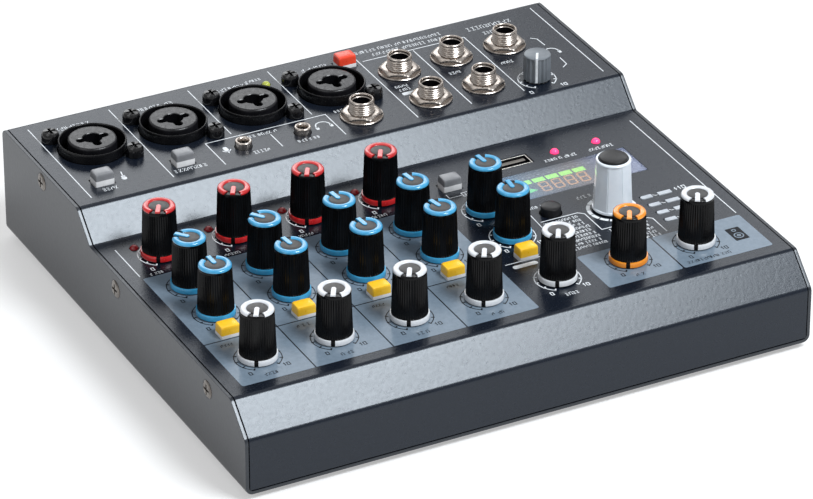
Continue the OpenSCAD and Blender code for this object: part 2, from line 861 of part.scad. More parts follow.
// A cap, its retaining flange below the panel and the stem into its switch
module push_button(panel_top) {
    under = panel_top - sheet;
    block([cap_w, cap_d], under - 1.8, panel_top + cap_h);
    block([cap_w + 1.5, cap_d + 1.5], under - 1.8, under - 1);
    translate([0, 0, under - switch_drop - 4]) cylinder(r = stem_r, h = switch_drop + 3);
}

module mute_button(i) {
    color("#f2b21e") in_case() at_plan(mute_at(i)) push_button(panel_z);
}

module route_button() {
    color("#8e9298") in_case() at_plan(ROUTE_AT) push_button(panel_z);
}

module hi_z_button() {
    color("#8e9298") in_case() at_plan(HI_Z_AT) push_button(deck_z);
}

module low_cut_button() {
    color("#8e9298") in_case() at_plan(LOW_CUT_AT) push_button(deck_z);
}

module phantom_button() {
    color("#e8452f") in_case() at_plan(PHANTOM_AT) push_button(deck_z);
}

// Round cap over a momentary switch
module mode_button() {
    color("#17181b") in_case() at_plan(MODE_AT) {
        translate([0, 0, panel_under - 1]) cylinder(r = 3.5, h = sheet + 4);
        translate([0, 0, panel_under - 2]) cylinder(r = 4.4, h = 1);
        translate([0, 0, main_top + 3.8 + mode_gap]) cylinder(r = 1.6, h = panel_under - main_top - 5);
    }
}

bottom_chassis();
top_cover();
case_screws();
rubber_feet();
main_board();
jack_board();
board_standoffs();
ribbon_cable();
combo_housings();
combo_inserts();
combo_screws();
jack_bodies();
jack_barrels();
jack_nuts();
mini_jacks();
potentiometers();
switch_bodies();
encoder_body();
display_module();
display_window();
usb_sockets();
indicator_leds();
meter_leds();
power_inlet();
power_switch_body();
power_rocker();
fx_knob();
main_knob();
phones_knob();
encoder_knob();
encoder_shaft();
mode_button();
route_button();
hi_z_button();
low_cut_button();
phantom_button();
for (i = [1:GAIN_STRIPS]) gain_knob(i - 1);
for (i = [1:STRIPS]) eq_high_knob(i - 1);
for (i = [1:STRIPS]) eq_low_knob(i - 1);
for (i = [1:STRIPS]) volume_knob(i - 1);
for (i = [1:STRIPS]) mute_button(i - 1);
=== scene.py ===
import random
from math import atan2, cos, pi, radians, sin, sqrt

import bmesh
import bpy
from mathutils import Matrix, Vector


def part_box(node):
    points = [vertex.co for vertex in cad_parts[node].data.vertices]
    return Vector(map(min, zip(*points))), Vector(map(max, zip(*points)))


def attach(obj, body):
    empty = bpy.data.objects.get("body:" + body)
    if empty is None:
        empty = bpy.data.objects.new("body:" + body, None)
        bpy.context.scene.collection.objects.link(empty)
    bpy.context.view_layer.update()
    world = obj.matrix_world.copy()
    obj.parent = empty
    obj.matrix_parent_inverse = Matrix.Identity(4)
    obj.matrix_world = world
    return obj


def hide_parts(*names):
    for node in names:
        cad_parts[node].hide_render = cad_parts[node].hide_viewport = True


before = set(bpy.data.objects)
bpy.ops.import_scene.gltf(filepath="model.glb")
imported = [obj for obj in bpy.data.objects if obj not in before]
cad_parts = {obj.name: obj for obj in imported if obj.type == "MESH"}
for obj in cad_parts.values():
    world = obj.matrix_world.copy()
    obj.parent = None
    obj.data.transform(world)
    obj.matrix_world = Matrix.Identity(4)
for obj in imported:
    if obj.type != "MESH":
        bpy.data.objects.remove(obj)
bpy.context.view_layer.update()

# A compact audio mixing console. Lengths are written in millimetres and turned into metres
# by MM. spot(x, y) counts from the middle of the case and from its front face.

MM = 0.001
CASE_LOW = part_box("bottom_chassis")[0]
DECK_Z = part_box("top_cover")[1].z
LENS_PROUD = 0.15 * MM
PANEL_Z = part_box("meter_leds")[1].z - LENS_PROUD
STRIPS = range(1, 6)
GAIN_STRIPS = range(1, 5)


def spot(x, y, z=0.0):
    """A point in mm from the middle and the front of the case, at height z in metres."""
    return Vector((x * MM, CASE_LOW.y + y * MM, z))


def middle(node, z=None):
    """The middle of a CAD node's box, moved to height z in metres if one is given."""
    low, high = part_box(node)
    centre = (low + high) / 2
    if z is not None:
        centre.z = z
    return centre


# ---- camera, floor and light

CAMERA_AZIMUTH = -27.26
CAMERA_ELEVATION = 30.09
CAMERA_DISTANCE = 1.7026
CAMERA_LENS = 227.4
CAMERA_TARGET = spot(-3.35, 83.46, CASE_LOW.z + 20 * MM)
SKY_COLOUR, SKY_STRENGTH = (0.97, 0.98, 1.0, 1), 0.42
FLOOR_SIZE = 12
FLOOR_TONE, FLOOR_ROUGHNESS, FLOOR_GLOW = (0.52, 0.52, 0.52), 0.8, 0.40
# Name, azimuth, elevation, distance and size in metres, watts, colour.
SOFTBOXES = (
    ("key_softbox", 29.0, 55.5, 1.3, (0.50, 0.43), 19.2, (0.93, 0.97, 1.0)),
    ("left_softbox", -75, 38, 1.6, (1.0, 0.8), 3.6, (0.97, 0.99, 1.0)),
    ("back_softbox", 166, 27, 2.0, (0.9, 0.7), 5.5, (0.96, 0.98, 1.0)),
    ("right_softbox", 138, 34, 2.0, (0.6, 0.5), 2.4, (0.96, 0.98, 1.0)),
    ("top_softbox", 180, 70, 1.5, (1.0, 0.8), 1.6, (1.0, 0.99, 0.97)),
)


def direction(azimuth, elevation):
    """Unit vector towards a viewer; azimuth 0 stands in front, 90 on the right."""
    a, e = radians(azimuth), radians(elevation)
    return Vector((sin(a) * cos(e), -cos(a) * cos(e), sin(e)))


def linked(name, data):
    """A new object in the scene."""
    obj = bpy.data.objects.new(name, data)
    bpy.context.scene.collection.objects.link(obj)
    return obj


def look_from(obj, way, distance):
    """Stands a camera or a light at a distance from the target and turns it there."""
    obj.location = CAMERA_TARGET + distance * way
    obj.rotation_euler = (CAMERA_TARGET - obj.location).to_track_quat("-Z", "Y").to_euler()


def add_camera():
    data = bpy.data.cameras.new("camera")
    data.lens = CAMERA_LENS
    data.clip_start, data.clip_end = 0.05, 20
    camera = linked("camera", data)
    look_from(camera, direction(CAMERA_AZIMUTH, CAMERA_ELEVATION), CAMERA_DISTANCE)
    bpy.context.scene.camera = camera


def add_light(name, azimuth, elevation, distance, size, watts, colour):
    data = bpy.data.lights.new(name, "AREA")
    data.shape = "RECTANGLE"
    data.size, data.size_y = size
    data.energy = watts
    data.color = colour
    look_from(linked(name, data), direction(azimuth, elevation), distance)


def add_stage():
    scene = bpy.context.scene
    scene.view_settings.view_transform = "Standard"
    world = bpy.data.worlds.new("studio")
    world.use_nodes = True
    give(world.node_tree.nodes["Background"], Color=SKY_COLOUR, Strength=SKY_STRENGTH)
    scene.world = world
    bpy.ops.mesh.primitive_plane_add(size=FLOOR_SIZE)
    floor = bpy.context.object
    floor.name = "floor"
    paper = plain("floor_paper", FLOOR_TONE, FLOOR_ROUGHNESS)
    give(shader_of(paper), Emission_Color=(1.0, 1.0, 1.0, 1), Emission_Strength=FLOOR_GLOW)
    floor.data.materials.append(paper)
    for row in SOFTBOXES:
        add_light(*row)


# ---- materials

EVEN_GLOSS = 0.5
CLEAR_COAT_ROUGHNESS = 0.12
NOISE_LOW, NOISE_HIGH = 0.3, 0.7


def give(node, **values):
    """Sets sockets of a node; an underscore stands for a space in a socket's name."""
    for name, value in values.items():
        node.inputs[name.replace("_", " ")].default_value = value


def shader_of(material):
    return material.node_tree.nodes["Principled BSDF"]


def added(material, kind):
    return material.node_tree.nodes.new("ShaderNode" + kind)


def wire(source, out, target, socket):
    """Links an output of one node to an input of another."""
    source.id_data.links.new(source.outputs[out], target.inputs[socket])


def plain(name, colour, rough, metal=0.0, coat=0.0, gloss=EVEN_GLOSS, tint=(1, 1, 1)):
    """A principled material with its even values set on the shader's own sockets."""
    material = bpy.data.materials.new(name)
    material.use_nodes = True
    give(
        shader_of(material), Base_Color=(*colour, 1), Roughness=rough, Metallic=metal,
        Coat_Weight=coat, Coat_Roughness=CLEAR_COAT_ROUGHNESS,
        Specular_IOR_Level=gloss, Specular_Tint=(*tint, 1),
    )
    material.diffuse_color = (*colour, 1)
    return material


def noise_node(material, scale, detail, stretch=(1, 1, 1)):
    """Noise over the piece's own coordinates; scale is the number of blobs in a metre."""
    coords, spread = added(material, "TexCoord"), added(material, "Mapping")
    cloud = added(material, "TexNoise")
    give(spread, Scale=stretch)
    give(cloud, Scale=scale, Detail=detail)
    wire(coords, "Object", spread, "Vector")
    wire(spread, "Vector", cloud, "Vector")
    return cloud


def mottled(material, dark, light, scale, detail):
    """The base colour wanders between two tones."""
    cloud, ramp = noise_node(material, scale, detail), added(material, "ValToRGB")
    first, last = ramp.color_ramp.elements
    first.position, last.position = NOISE_LOW, NOISE_HIGH
    first.color, last.color = (*dark, 1), (*light, 1)
    wire(cloud, "Fac", ramp, "Fac")
    wire(ramp, "Color", shader_of(material), "Base Color")


def uneven_gloss(material, low, high, scale, detail):
    """The roughness wanders between two values."""
    cloud, spread = noise_node(material, scale, detail), added(material, "MapRange")
    give(spread, From_Min=NOISE_LOW, From_Max=NOISE_HIGH, To_Min=low, To_Max=high)
    wire(cloud, "Fac", spread, "Value")
    wire(spread, "Result", shader_of(material), "Roughness")


def bumped(material, scale, depth, detail, stretch=(1, 1, 1)):
    """Relief from noise; depth is in mm."""
    cloud, bump = noise_node(material, scale, detail, stretch), added(material, "Bump")
    give(bump, Strength=1.0, Distance=depth * MM)
    wire(cloud, "Fac", bump, "Height")
    wire(bump, "Normal", shader_of(material), "Normal")


def moulded(name, dark, light, rough, grain, coat=0.0, gloss=EVEN_GLOSS):
    """Moulded plastic: faint flow marks in the colour, uneven gloss and a fine grain."""
    material = plain(name, light, rough, coat=coat, gloss=gloss)
    mottled(material, dark, light, 260, 3)
    uneven_gloss(material, rough - 0.06, rough + 0.06, 900, 3)
    bumped(material, 9000, grain, 2)
    return material


def powder_coat(name, dark, light, rough, gloss, tint):
    """Semi-gloss powder coat: slight mottling and the soft grain of its orange peel."""
    material = plain(name, light, rough, gloss=gloss, tint=tint)
    mottled(material, dark, light, 1400, 3)
    uneven_gloss(material, rough - 0.01, rough + 0.015, 700, 1)
    bumped(material, 780, 0.018, 1)
    return material


def printed(name, dark, light, rough, gloss=EVEN_GLOSS):
    """Screen-printed ink that takes on a little of the grain of the coat below it."""
    material = plain(name, light, rough, gloss=gloss)
    mottled(material, dark, light, 700, 3)
    uneven_gloss(material, rough - 0.05, rough + 0.05, 1500, 2)
    bumped(material, 780, 0.006, 0)
    return material


def plated(name, dark, light, rough, along=(1, 1, 0.08)):
    """Plated metal: bright, a little uneven, with fine turning marks."""
    material = plain(name, light, rough, metal=1.0)
    mottled(material, dark, light, 420, 4)
    uneven_gloss(material, rough - 0.06, rough + 0.10, 1600, 3)
    bumped(material, 7000, 0.0005, 2, along)
    return material


def glowing(name, colour, strength, rough=0.2):
    """A lamp lens or a lit mark."""
    material = plain(name, colour, rough, coat=0.5)
    mottled(material, [c * 0.8 for c in colour], colour, 600, 2)
    give(shader_of(material), Emission_Color=(*colour, 1), Emission_Strength=strength)
    return material


def screw_black():
    """Blackened steel of the pan-head screws."""
    material = plain("black_screw", (0.004, 0.004, 0.005), 0.16, gloss=0.6)
    mottled(material, (0.002, 0.002, 0.0025), (0.005, 0.005, 0.006), 1800, 4)
    uneven_gloss(material, 0.13, 0.20, 2600, 3)
    bumped(material, 3200, 0.001, 3)
    return material


def coarse(name, dark, light, rough, colour, blobs, detail, relief):
    """Rubber or board with a relief of 0.01 mm; blobs and relief are noise scales."""
    material = plain(name, colour, rough)
    mottled(material, dark, light, blobs, detail)
    bumped(material, relief, 0.01, 3)
    return material


# Colour of the display film along its width, with a painted reflection of bluish light towards the
# right end: part of the way, colour.
FILM_TONE_AND_REFLECTION_STOPS = (
    (0.0, (0.20, 0.34, 0.52)), (0.16, (0.24, 0.30, 0.38)), (0.55, (0.24, 0.23, 0.25)),
    (0.80, (0.17, 0.21, 0.34)), (1.0, (0.19, 0.24, 0.42)),
)


def window_film():
    """Clear film whose base colour changes along X; towards the right end it paints a reflection of
    bluish light.
    """
    material = plain("window_film", (0.12, 0.12, 0.15), 0.14, coat=1.0)
    low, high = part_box("display_window")
    coords, split = added(material, "TexCoord"), added(material, "SeparateXYZ")
    part, ramp = added(material, "MapRange"), added(material, "ValToRGB")
    give(part, From_Min=low.x, From_Max=high.x)
    # The ramp paints a reflection of bluish light over the right end of the film.
    while len(ramp.color_ramp.elements) < len(FILM_TONE_AND_REFLECTION_STOPS):
        ramp.color_ramp.elements.new(0.5)
    for element, (position, colour) in zip(ramp.color_ramp.elements, FILM_TONE_AND_REFLECTION_STOPS):
        element.position = position
        element.color = (*colour, 1)
    wire(coords, "Object", split, "Vector")
    wire(split, "X", part, "Value")
    wire(part, "Result", ramp, "Fac")
    wire(ramp, "Color", shader_of(material), "Base Color")
    bumped(material, 500, 0.002, 3)
    give(shader_of(material), Alpha=0.42)
    return material


# Material name, dark tone, light tone, roughness, then the maker's own values.
# The blue cast of both coats' tones and their blue specular tints are painted light: they stand for
# a bluish tone in the reflections and the shade.
POWDER_COATS = {
    "coat": ("cover_coat", (0.0035, 0.0058, 0.0115), (0.0055, 0.0085, 0.0155), 0.26,
             0.42, (0.89, 0.945, 1.0)),
    "chassis": ("chassis_coat", (0.010, 0.012, 0.016), (0.014, 0.016, 0.021), 0.30,
                0.58, (0.90, 0.95, 1.0)),
}
INKS = {
    "white": ("white_ink", (0.60, 0.63, 0.66), (0.76, 0.79, 0.82), 0.45),
    "zone": ("zone_ink", (0.130, 0.172, 0.218), (0.150, 0.196, 0.248), 0.22, 0.30),
    "dark": ("dark_ink", (0.004, 0.005, 0.008), (0.007, 0.009, 0.013), 0.40, 0.12),
}
METALS = {
    "nickel": ("nickel", (0.47, 0.42, 0.38), (0.64, 0.58, 0.53), 0.25),
    "nickel_nut": ("nickel_nut", (0.45, 0.40, 0.36), (0.61, 0.55, 0.50), 0.24, (1, 0.15, 1)),
    "steel": ("steel", (0.48, 0.46, 0.43), (0.66, 0.64, 0.60), 0.30),
    "bronze": ("side_screw", (0.13, 0.115, 0.105), (0.24, 0.22, 0.20), 0.26),
}
# Here grain in mm, strength of the clear coat and gloss level follow.
PLASTICS = {
    "socket": ("socket_black", (0.002, 0.002, 0.0025), (0.004, 0.004, 0.005), 0.26, 0.001, 0, 0.36),
    "insert": ("insert_black", (0.004, 0.004, 0.005), (0.008, 0.008, 0.010), 0.30, 0.0015, 0, 0.42),
    "knob": ("knob_black", (0.002, 0.002, 0.0022), (0.004, 0.004, 0.0044), 0.20, 0.0003, 0, 0.15),
    "disc": ("knob_disc", (0.026, 0.025, 0.025), (0.040, 0.038, 0.037), 0.38, 0.003),
    "red": ("knob_red", (0.42, 0.010, 0.012), (0.58, 0.018, 0.018), 0.22, 0.0005, 0.8),
    "blue": ("knob_blue", (0.030, 0.25, 0.46), (0.048, 0.34, 0.60), 0.22, 0.0005, 0.8),
    "bright": ("knob_white", (0.54, 0.555, 0.58), (0.66, 0.68, 0.71), 0.24, 0.0005, 0.7),
    "orange": ("knob_orange", (0.66, 0.19, 0.006), (0.82, 0.28, 0.012), 0.22, 0.0005, 0.7),
    "grey_knob": ("knob_grey", (0.125, 0.140, 0.158), (0.165, 0.184, 0.205), 0.34, 0.002),
    "silver": ("encoder_silver", (0.68, 0.735, 0.80), (0.75, 0.80, 0.86), 0.14, 0.0002, 1.0),
    "cap": ("encoder_cap", (0.006, 0.006, 0.007), (0.010, 0.010, 0.011), 0.34, 0.0004, 0, 0.36),
    "yellow": ("button_yellow", (0.88, 0.48, 0.016), (0.95, 0.58, 0.030), 0.32, 0.001, 0.3),
    "red_button": ("button_red", (0.70, 0.045, 0.016), (0.84, 0.070, 0.026), 0.32, 0.001, 0.3),
    "grey_button": ("button_grey", (0.17, 0.175, 0.185), (0.23, 0.235, 0.25), 0.34, 0.001, 0.2),
    "skirt": ("button_skirt", (0.56, 0.56, 0.57), (0.70, 0.70, 0.71), 0.36, 0.001, 0.2),
    "screen": ("display_black", (0.17, 0.175, 0.19), (0.22, 0.225, 0.245), 0.25, 0.0005, 0.6),
    "lens": ("meter_lens", (0.36, 0.39, 0.43), (0.46, 0.49, 0.53), 0.35, 0.001),
    "ivory": ("switch_ivory", (0.60, 0.57, 0.48), (0.70, 0.67, 0.58), 0.5, 0.004),
    "ribbon": ("ribbon_grey", (0.30, 0.31, 0.33), (0.40, 0.41, 0.43), 0.5, 0.004),
    "tongue": ("usb_tongue", (0.10, 0.09, 0.08), (0.15, 0.135, 0.12), 0.45, 0.003),
}
COARSE = {
    "rubber": ("foot_rubber", (0.010, 0.010, 0.011), (0.022, 0.022, 0.023), 0.75,
               (0.014, 0.014, 0.015), 1500, 4, 4200),
    "board": ("board_green", (0.012, 0.09, 0.035), (0.03, 0.16, 0.07), 0.35,
              (0.02, 0.12, 0.05), 500, 5, 2400),
}
# Material name, colour, strength of the light, roughness.
LAMPS = {
    "lamp_red": ("lamp_red", (0.30, 0.008, 0.012), 0.05, 0.12),
    "lamp_lit": ("lamp_lit", (0.90, 0.035, 0.14), 1.8, 0.15),
    "lamp_lime": ("lamp_lime", (0.42, 0.46, 0.07), 0.12, 0.15),
    "bars": ("display_green", (0.42, 0.98, 0.14), 1.55),
    "play": ("display_play", (0.22, 0.90, 0.26), 1.3),
    "digits": ("display_amber", (0.80, 0.42, 0.16), 1.0),
}


def make_materials():
    made = {"window": window_film(), "screw": screw_black()}
    makers = ((powder_coat, POWDER_COATS), (printed, INKS), (plated, METALS),
              (moulded, PLASTICS), (coarse, COARSE), (glowing, LAMPS))
    for maker, table in makers:
        for look, values in table.items():
            made[look] = maker(*values)
    return made


# ---- mesh building

SHARP_EDGE = 30
MERGE_DISTANCE = 1e-6
SAME_PLANE = 1e-7
FLAT_ANGLE = radians(0.6)


def circle(n, z, radius):
    """Points round the Z axis at height z; radius(angle) gives mm, the points are in metres."""
    points = []
    for k in range(n):
        a = 2 * pi * k / n
        r = radius(a)
        points.append((r * cos(a) * MM, r * sin(a) * MM, z * MM))
    return points


class Build:
    """Collects the rings and faces of one piece, in metres, with a look for each face."""

    def __init__(self):
        self.verts, self.faces, self.picks, self.looks = [], [], [], []

    def ring(self, points):
        start = len(self.verts)
        self.verts += [tuple(p) for p in points]
        return list(range(start, len(self.verts)))

    def face(self, corners, look):
        if look not in self.looks:
            self.looks.append(look)
        self.faces.append(tuple(corners))
        self.picks.append(self.looks.index(look))

    def band(self, low, high, look):
        """Quads between two rings that run counter-clockwise seen from outside the end of high."""
        n = len(low)
        for i in range(n):
            j = (i + 1) % n
            self.face((low[i], low[j], high[j], high[i]), look)

    def loft(self, rings, look, bottom=True, top=True):
        """Skins a stack of point rings."""
        made = [self.ring(points) for points in rings]
        for low, high in zip(made, made[1:]):
            self.band(low, high, look)
        if bottom:
            self.face(reversed(made[0]), look)
        if top:
            self.face(made[-1], look)

    def lathe(self, profile, n, look, reach=None, bottom=True, top=True):
        """Turns a profile of (radius, height) in mm round the Z axis.

        reach(angle, radius, height) may change the radius, for ribs, threads and hexagons."""
        rings = [
            circle(n, z, lambda a: reach(a, r, z) if reach else r)
            for r, z in profile
        ]
        self.loft(rings, look, bottom, top)

    def tube(self, profile, n, look, reach=None):
        """A lathe without its end faces."""
        self.lathe(profile, n, look, reach, False, False)

    def sweep(self, profile, start, end, n, look):
        """Sweeps a closed profile of (radius, height) in mm through an arc, given in degrees
        clockwise from +Y."""
        slices = []
        for k in range(n + 1):
            a = radians(90 - start - (end - start) * k / n)
            points = [(r * cos(a) * MM, r * sin(a) * MM, z * MM) for r, z in profile]
            slices.append(self.ring(points))
        for one, two in zip(slices, slices[1:]):
            self.band(one, two, look)
        self.face(reversed(slices[0]), look)
        self.face(slices[-1], look)

    def slab(self, outline, low, high, look):
        """An upright prism over an outline of points in metres, drawn counter-clockwise."""
        self.loft([[(*p[:2], low) for p in outline], [(*p[:2], high) for p in outline]], look)

    def done(self, name, sharp=35):
        """The mesh, smooth but for edges sharper than so many degrees."""
        mesh = bpy.data.meshes.new(name)
        mesh.from_pydata(self.verts, [], self.faces)
        for look in self.looks:
            mesh.materials.append(MATERIALS[look])
        mesh.polygons.foreach_set("material_index", self.picks)
        bm = bmesh.new()
        bm.from_mesh(mesh)
        bmesh.ops.recalc_face_normals(bm, faces=bm.faces)
        bm.to_mesh(mesh)
        bm.free()
        mesh.shade_smooth()
        mesh.set_sharp_from_angle(angle=radians(sharp))
        return mesh


def place(name, mesh, replaced=(), at=(0, 0, 0), turn=0.0, body="console"):
    """Links a piece, stands it at a point and lets it ride on its CAD body."""
    piece = linked(name, mesh)
    piece.location = at
    piece.rotation_euler = (0, 0, turn)
    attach(piece, body)
    if replaced:
        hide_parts(*replaced)
    return piece


def stand(node, mesh, z, turn=0.0):
    """Places the piece of a moving CAD node with its foot at height z in metres."""
    place(node + "_piece", mesh, (node,), middle(node, z), turn, node)


def put(b, name, replaced=()):
    """Places a build that stands still and is made in the common frame."""
    place(name, b.done(name), replaced)


def box_outline(x0, y0, x1, y1):
    return [(x0, y0), (x1, y0), (x1, y1), (x0, y1)]


def close_joint(bm, y):
    """Joins the two sheets of the cover across the hairline gap at y, in metres."""
    reach = 0.08 * MM
    for v in bm.verts:
        if abs(v.co.y - y) < reach:
            v.co.y = y
    bmesh.ops.remove_doubles(bm, verts=bm.verts, dist=MERGE_DISTANCE)
    walls = [f for f in bm.faces if all(abs(v.co.y - y) < SAME_PLANE for v in f.verts)]
    bmesh.ops.delete(bm, geom=walls, context="FACES_ONLY")


def refined(node, look, bevel, joint=None, body="console"):
    """A copy of a CAD node with flat faces joined, its edges broken by a small round, given in
    mm, and smooth bends."""
    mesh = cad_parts[node].data.copy()
    mesh.name = node + "_refined"
    sharp = radians(SHARP_EDGE)
    bm = bmesh.new()
    bm.from_mesh(mesh)
    if joint is not None:
        close_joint(bm, joint)
    bmesh.ops.remove_doubles(bm, verts=bm.verts, dist=MERGE_DISTANCE)
    bmesh.ops.dissolve_limit(bm, angle_limit=FLAT_ANGLE, verts=bm.verts, edges=bm.edges)
    edges = [e for e in bm.edges if len(e.link_faces) == 2 and e.calc_face_angle(0) > sharp]
    bmesh.ops.bevel(
        bm, geom=edges, offset=bevel * MM, segments=2, profile=0.5,
        affect="EDGES", clamp_overlap=False,
    )
    bm.to_mesh(mesh)
    bm.free()
    mesh.materials.clear()
    mesh.materials.append(MATERIALS[look])
    mesh.polygons.foreach_set("material_index", [0] * len(mesh.polygons))
    mesh.shade_smooth()
    mesh.set_sharp_from_angle(angle=sharp)
    piece = place(node + "_piece", mesh, (node,), body=body)
    weigh = piece.modifiers.new("even_faces", "WEIGHTED_NORMAL")
    weigh.keep_sharp = True
    return piece


# ---- knobs

RIBS = 46
SEGMENTS = 6 * RIBS
KNOB_LIFT = 0.4 * MM
ENCODER_LIFT = 0.8


def ribbed(depth, count=RIBS):
    """Fine ribs all round; depth is their height in millimetres."""
    def reach(angle, radius, _height):
        return radius - depth * (0.5 - 0.5 * cos(angle * count)) ** 0.7
    return reach


def pointer_angle(node):
    """The way the CAD pointer looks, clockwise from +Y, in radians."""
    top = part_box(node)[1].z
    tips = [v.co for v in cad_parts[node].data.vertices if v.co.z > top - 0.1 * MM]
    tip = sum(tips, Vector()) / len(tips) - middle(node)
    return atan2(tip.x, tip.y)


def bar_outline(width, near, far, n=5):
    """A bar along +Y with a round near end and a square far end, counter-clockwise."""
    r = width / 2
    arc = [(-r * cos(pi * k / n), near + r - r * sin(pi * k / n)) for k in range(n + 1)]
    return [(x * MM, y * MM) for x, y in arc + [(r, far), (-r, far)]]


def knob_mesh(name, tint):
    """A tall ribbed control knob: coloured collar, black body, coloured top ring and pointer."""
    b = Build()
    collar = [(5.7, 0), (6.38, 0), (6.49, 0.14), (6.49, 1.66), (6.38, 1.85), (5.7, 1.9)]
    gap, overlap = 6, 0.2
    b.sweep(collar, gap, 360 - gap, 72, tint)
    b.sweep([(r - 0.06, z) for r, z in collar], -gap - overlap, gap + overlap, 4, "knob")
    rows, taper, height, foot = 7, 0.53, 14.3, 2.1
    body = [(5.2, 0.05), (6, 0.05), (6.03, 1.9), (6.05, 2.05)]
    body += [(6.05 - taper * k / rows, 2.2 + height * k / rows) for k in range(rows + 1)]
    fine = ribbed(0.24)
    b.lathe(body, SEGMENTS, "knob", lambda a, r, z: fine(a, r, z) if z > foot else r, top=False)
    crown = [(5.52, 16.5), (5.52, 16.95), (5.46, 17.3), (5.34, 17.55), (5.2, 17.68)]
    crown += [(5.05, 17.66), (4.2, 17.62), (3.3, 17.66)]
    b.lathe(crown, SEGMENTS, "knob", bottom=False)
    b.lathe([(3.36, 17.6), (3.32, 17.84), (3.1, 17.92), (1.6, 17.96), (0.1, 17.97)], 96, "disc")
    ring = [(5.3, 17.2), (5.46, 17.3), (5.44, 17.6), (5.32, 17.88), (5.06, 18.08)]
    ring += [(4.65, 18.18), (4, 18.15), (3.66, 18.04), (3.46, 17.86), (3.44, 17.2)]
    gap = 31
    b.sweep(ring, gap, 360 - gap, 96, tint)
    pointer = bar_outline(1.65, -0.1, 5.12)
    inner = bar_outline(1.35, 0.06, 4.96)
    steps = ((pointer, 17.4), (pointer, 18.16), (inner, 18.28))
    b.loft([[(*p, z * MM) for p in outline] for outline, z in steps], tint)
    return b.done(name)


def add_knobs():
    meshes = {tint: knob_mesh("knob_" + tint, tint) for tint in ("red", "blue", "bright", "orange")}
    nodes = [(f"gain_knob_{i}", "red") for i in GAIN_STRIPS]
    nodes += [(f"eq_high_knob_{i}", "blue") for i in STRIPS]
    nodes += [(f"eq_low_knob_{i}", "blue") for i in STRIPS]
    nodes += [(f"volume_knob_{i}", "bright") for i in STRIPS]
    nodes += [("fx_knob", "orange"), ("main_knob", "bright")]
    for node, tint in nodes:
        stand(node, meshes[tint], PANEL_Z + KNOB_LIFT, -pointer_angle(node))


def add_phones_knob():
    """Small grey knob with broad ribs and a white pointer line over its top and side."""
    node = "phones_knob"
    b = Build()
    side = [(4.3, 0), (4.62, 0), (4.74, 0.2), (4.72, 4.5), (4.66, 8.9)]
    b.lathe(side, 240, "grey_knob", ribbed(0.42, 18), top=False)
    crown = [(4.4, 8.9), (4.62, 9.1), (4.45, 9.38), (4.1, 9.52), (2, 9.58), (0.1, 9.6)]
    b.lathe(crown, 240, "grey_knob", bottom=False)
    half = 0.42 * MM
    b.slab(box_outline(-half, 4.2 * MM, half, 4.77 * MM), 0.4 * MM, 9.2 * MM, "white")
    b.slab(box_outline(-half, 0, half, 4.6 * MM), 9.3 * MM, 9.68 * MM, "white")
    stand(node, b.done(node), DECK_Z + KNOB_LIFT, -pointer_angle(node))


def add_encoder():
    """Glossy silver knob: a tapered faceted drum with a rolled rim and a black domed cap."""
    node = "encoder_knob"
    b = Build()
    facets, groove, groove_share, flatness = 8, 0.22, 0.035, 0.75
    drum_low, drum_high = 0.9, 17.6

    def faceted(angle, radius, height):
        phase = (angle * facets / (2 * pi)) % 1.0
        half = pi / facets
        edge = min(phase, 1 - phase)
        if not drum_low < height < drum_high:
            return radius
        cut = groove * max(0, 1 - edge / groove_share)
        flat = cos(half) / cos((phase - 0.5) * 2 * half)
        return radius * (1 - flatness + flatness * flat) - cut

    foot_r, top_r, height, rows = 6.88, 6, 16.4, 8
    side = [(6.2, 0), (foot_r - 0.1, 0), (foot_r, 0.15), (foot_r, 0.8)]
    for k in range(rows + 1):
        side.append((foot_r - (foot_r - top_r) * k / rows, 1.0 + height * k / rows))
    side += [(top_r, 17.7), (top_r - 0.08, 18.05), (top_r - 0.32, 18.32), (top_r - 0.7, 18.39)]
    side += [(5.1, 18.25)]
    b.lathe(side, 400, "silver", faceted, top=False)
    b.tube([(5.1, 18.25), (4.98, 17.6), (4.9, 17.6)], 96, "socket")
    top = (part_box(node)[1].z - PANEL_Z) / MM - ENCODER_LIFT
    cap = [(4.9, 17.6), (4.9, 18.62), (4.82, 18.86), (4.55, 19.04), (3.9, 19.16), (2.4, 19.28)]
    b.lathe(cap + [(0.1, top - 0.05)], 96, "cap", bottom=False)
    stand(node, b.done(node, 20), PANEL_Z + ENCODER_LIFT * MM)


# ---- buttons

CAP_W, CAP_D = 6.8, 5.2
CAP_PLAY = 0.04
SKIRT_HEIGHTS = {"yellow": 1.1, "grey_button": 1.75, "red_button": 1.1}


def rounded_oblong(width, depth, radius, z, n=5):
    """A ring with round corners, counter-clockwise; sizes in mm, points in metres."""
    points = []
    for sx, sy, start in ((1, -1, -90), (1, 1, 0), (-1, 1, 90), (-1, -1, 180)):
        cx, cy = sx * (width / 2 - radius), sy * (depth / 2 - radius)
        for k in range(n + 1):
            a = radians(start + 90 * k / n)
            x, y = cx + radius * cos(a), cy + radius * sin(a)
            points.append((x * MM, y * MM, z * MM))
    return points


def button_mesh(tint, skirt_h):
    """A cap with a light skirt round its foot and a softly domed top."""
    b = Build()
    w, d = CAP_W - CAP_PLAY, CAP_D - CAP_PLAY
    skirt = [(0, 0.35, -2.2), (0, 0.35, skirt_h - 0.12), (0.1, 0.35, skirt_h)]
    cap = [(0.14, 0.45, skirt_h), (0.18, 0.5, 3.3), (0.26, 0.6, 3.78), (0.5, 0.75, 4.08)]
    cap += [(0.95, 0.95, 4.22), (1.9, 1.1, 4.3), (3.4, 0.7, 4.35)]
    b.loft([rounded_oblong(w - x, d - x, r, z) for x, r, z in skirt], "skirt", top=False)
    b.loft([rounded_oblong(w - x, d - x, r, z) for x, r, z in cap], tint, bottom=False)
    b.loft([rounded_oblong(w + 1.5, d + 1.5, 0.4, z) for z in (-3, -2.2)], "skirt")
    b.lathe([(1.7, -9.6), (1.7, -3)], 24, "skirt")
    return b.done("cap_" + tint)


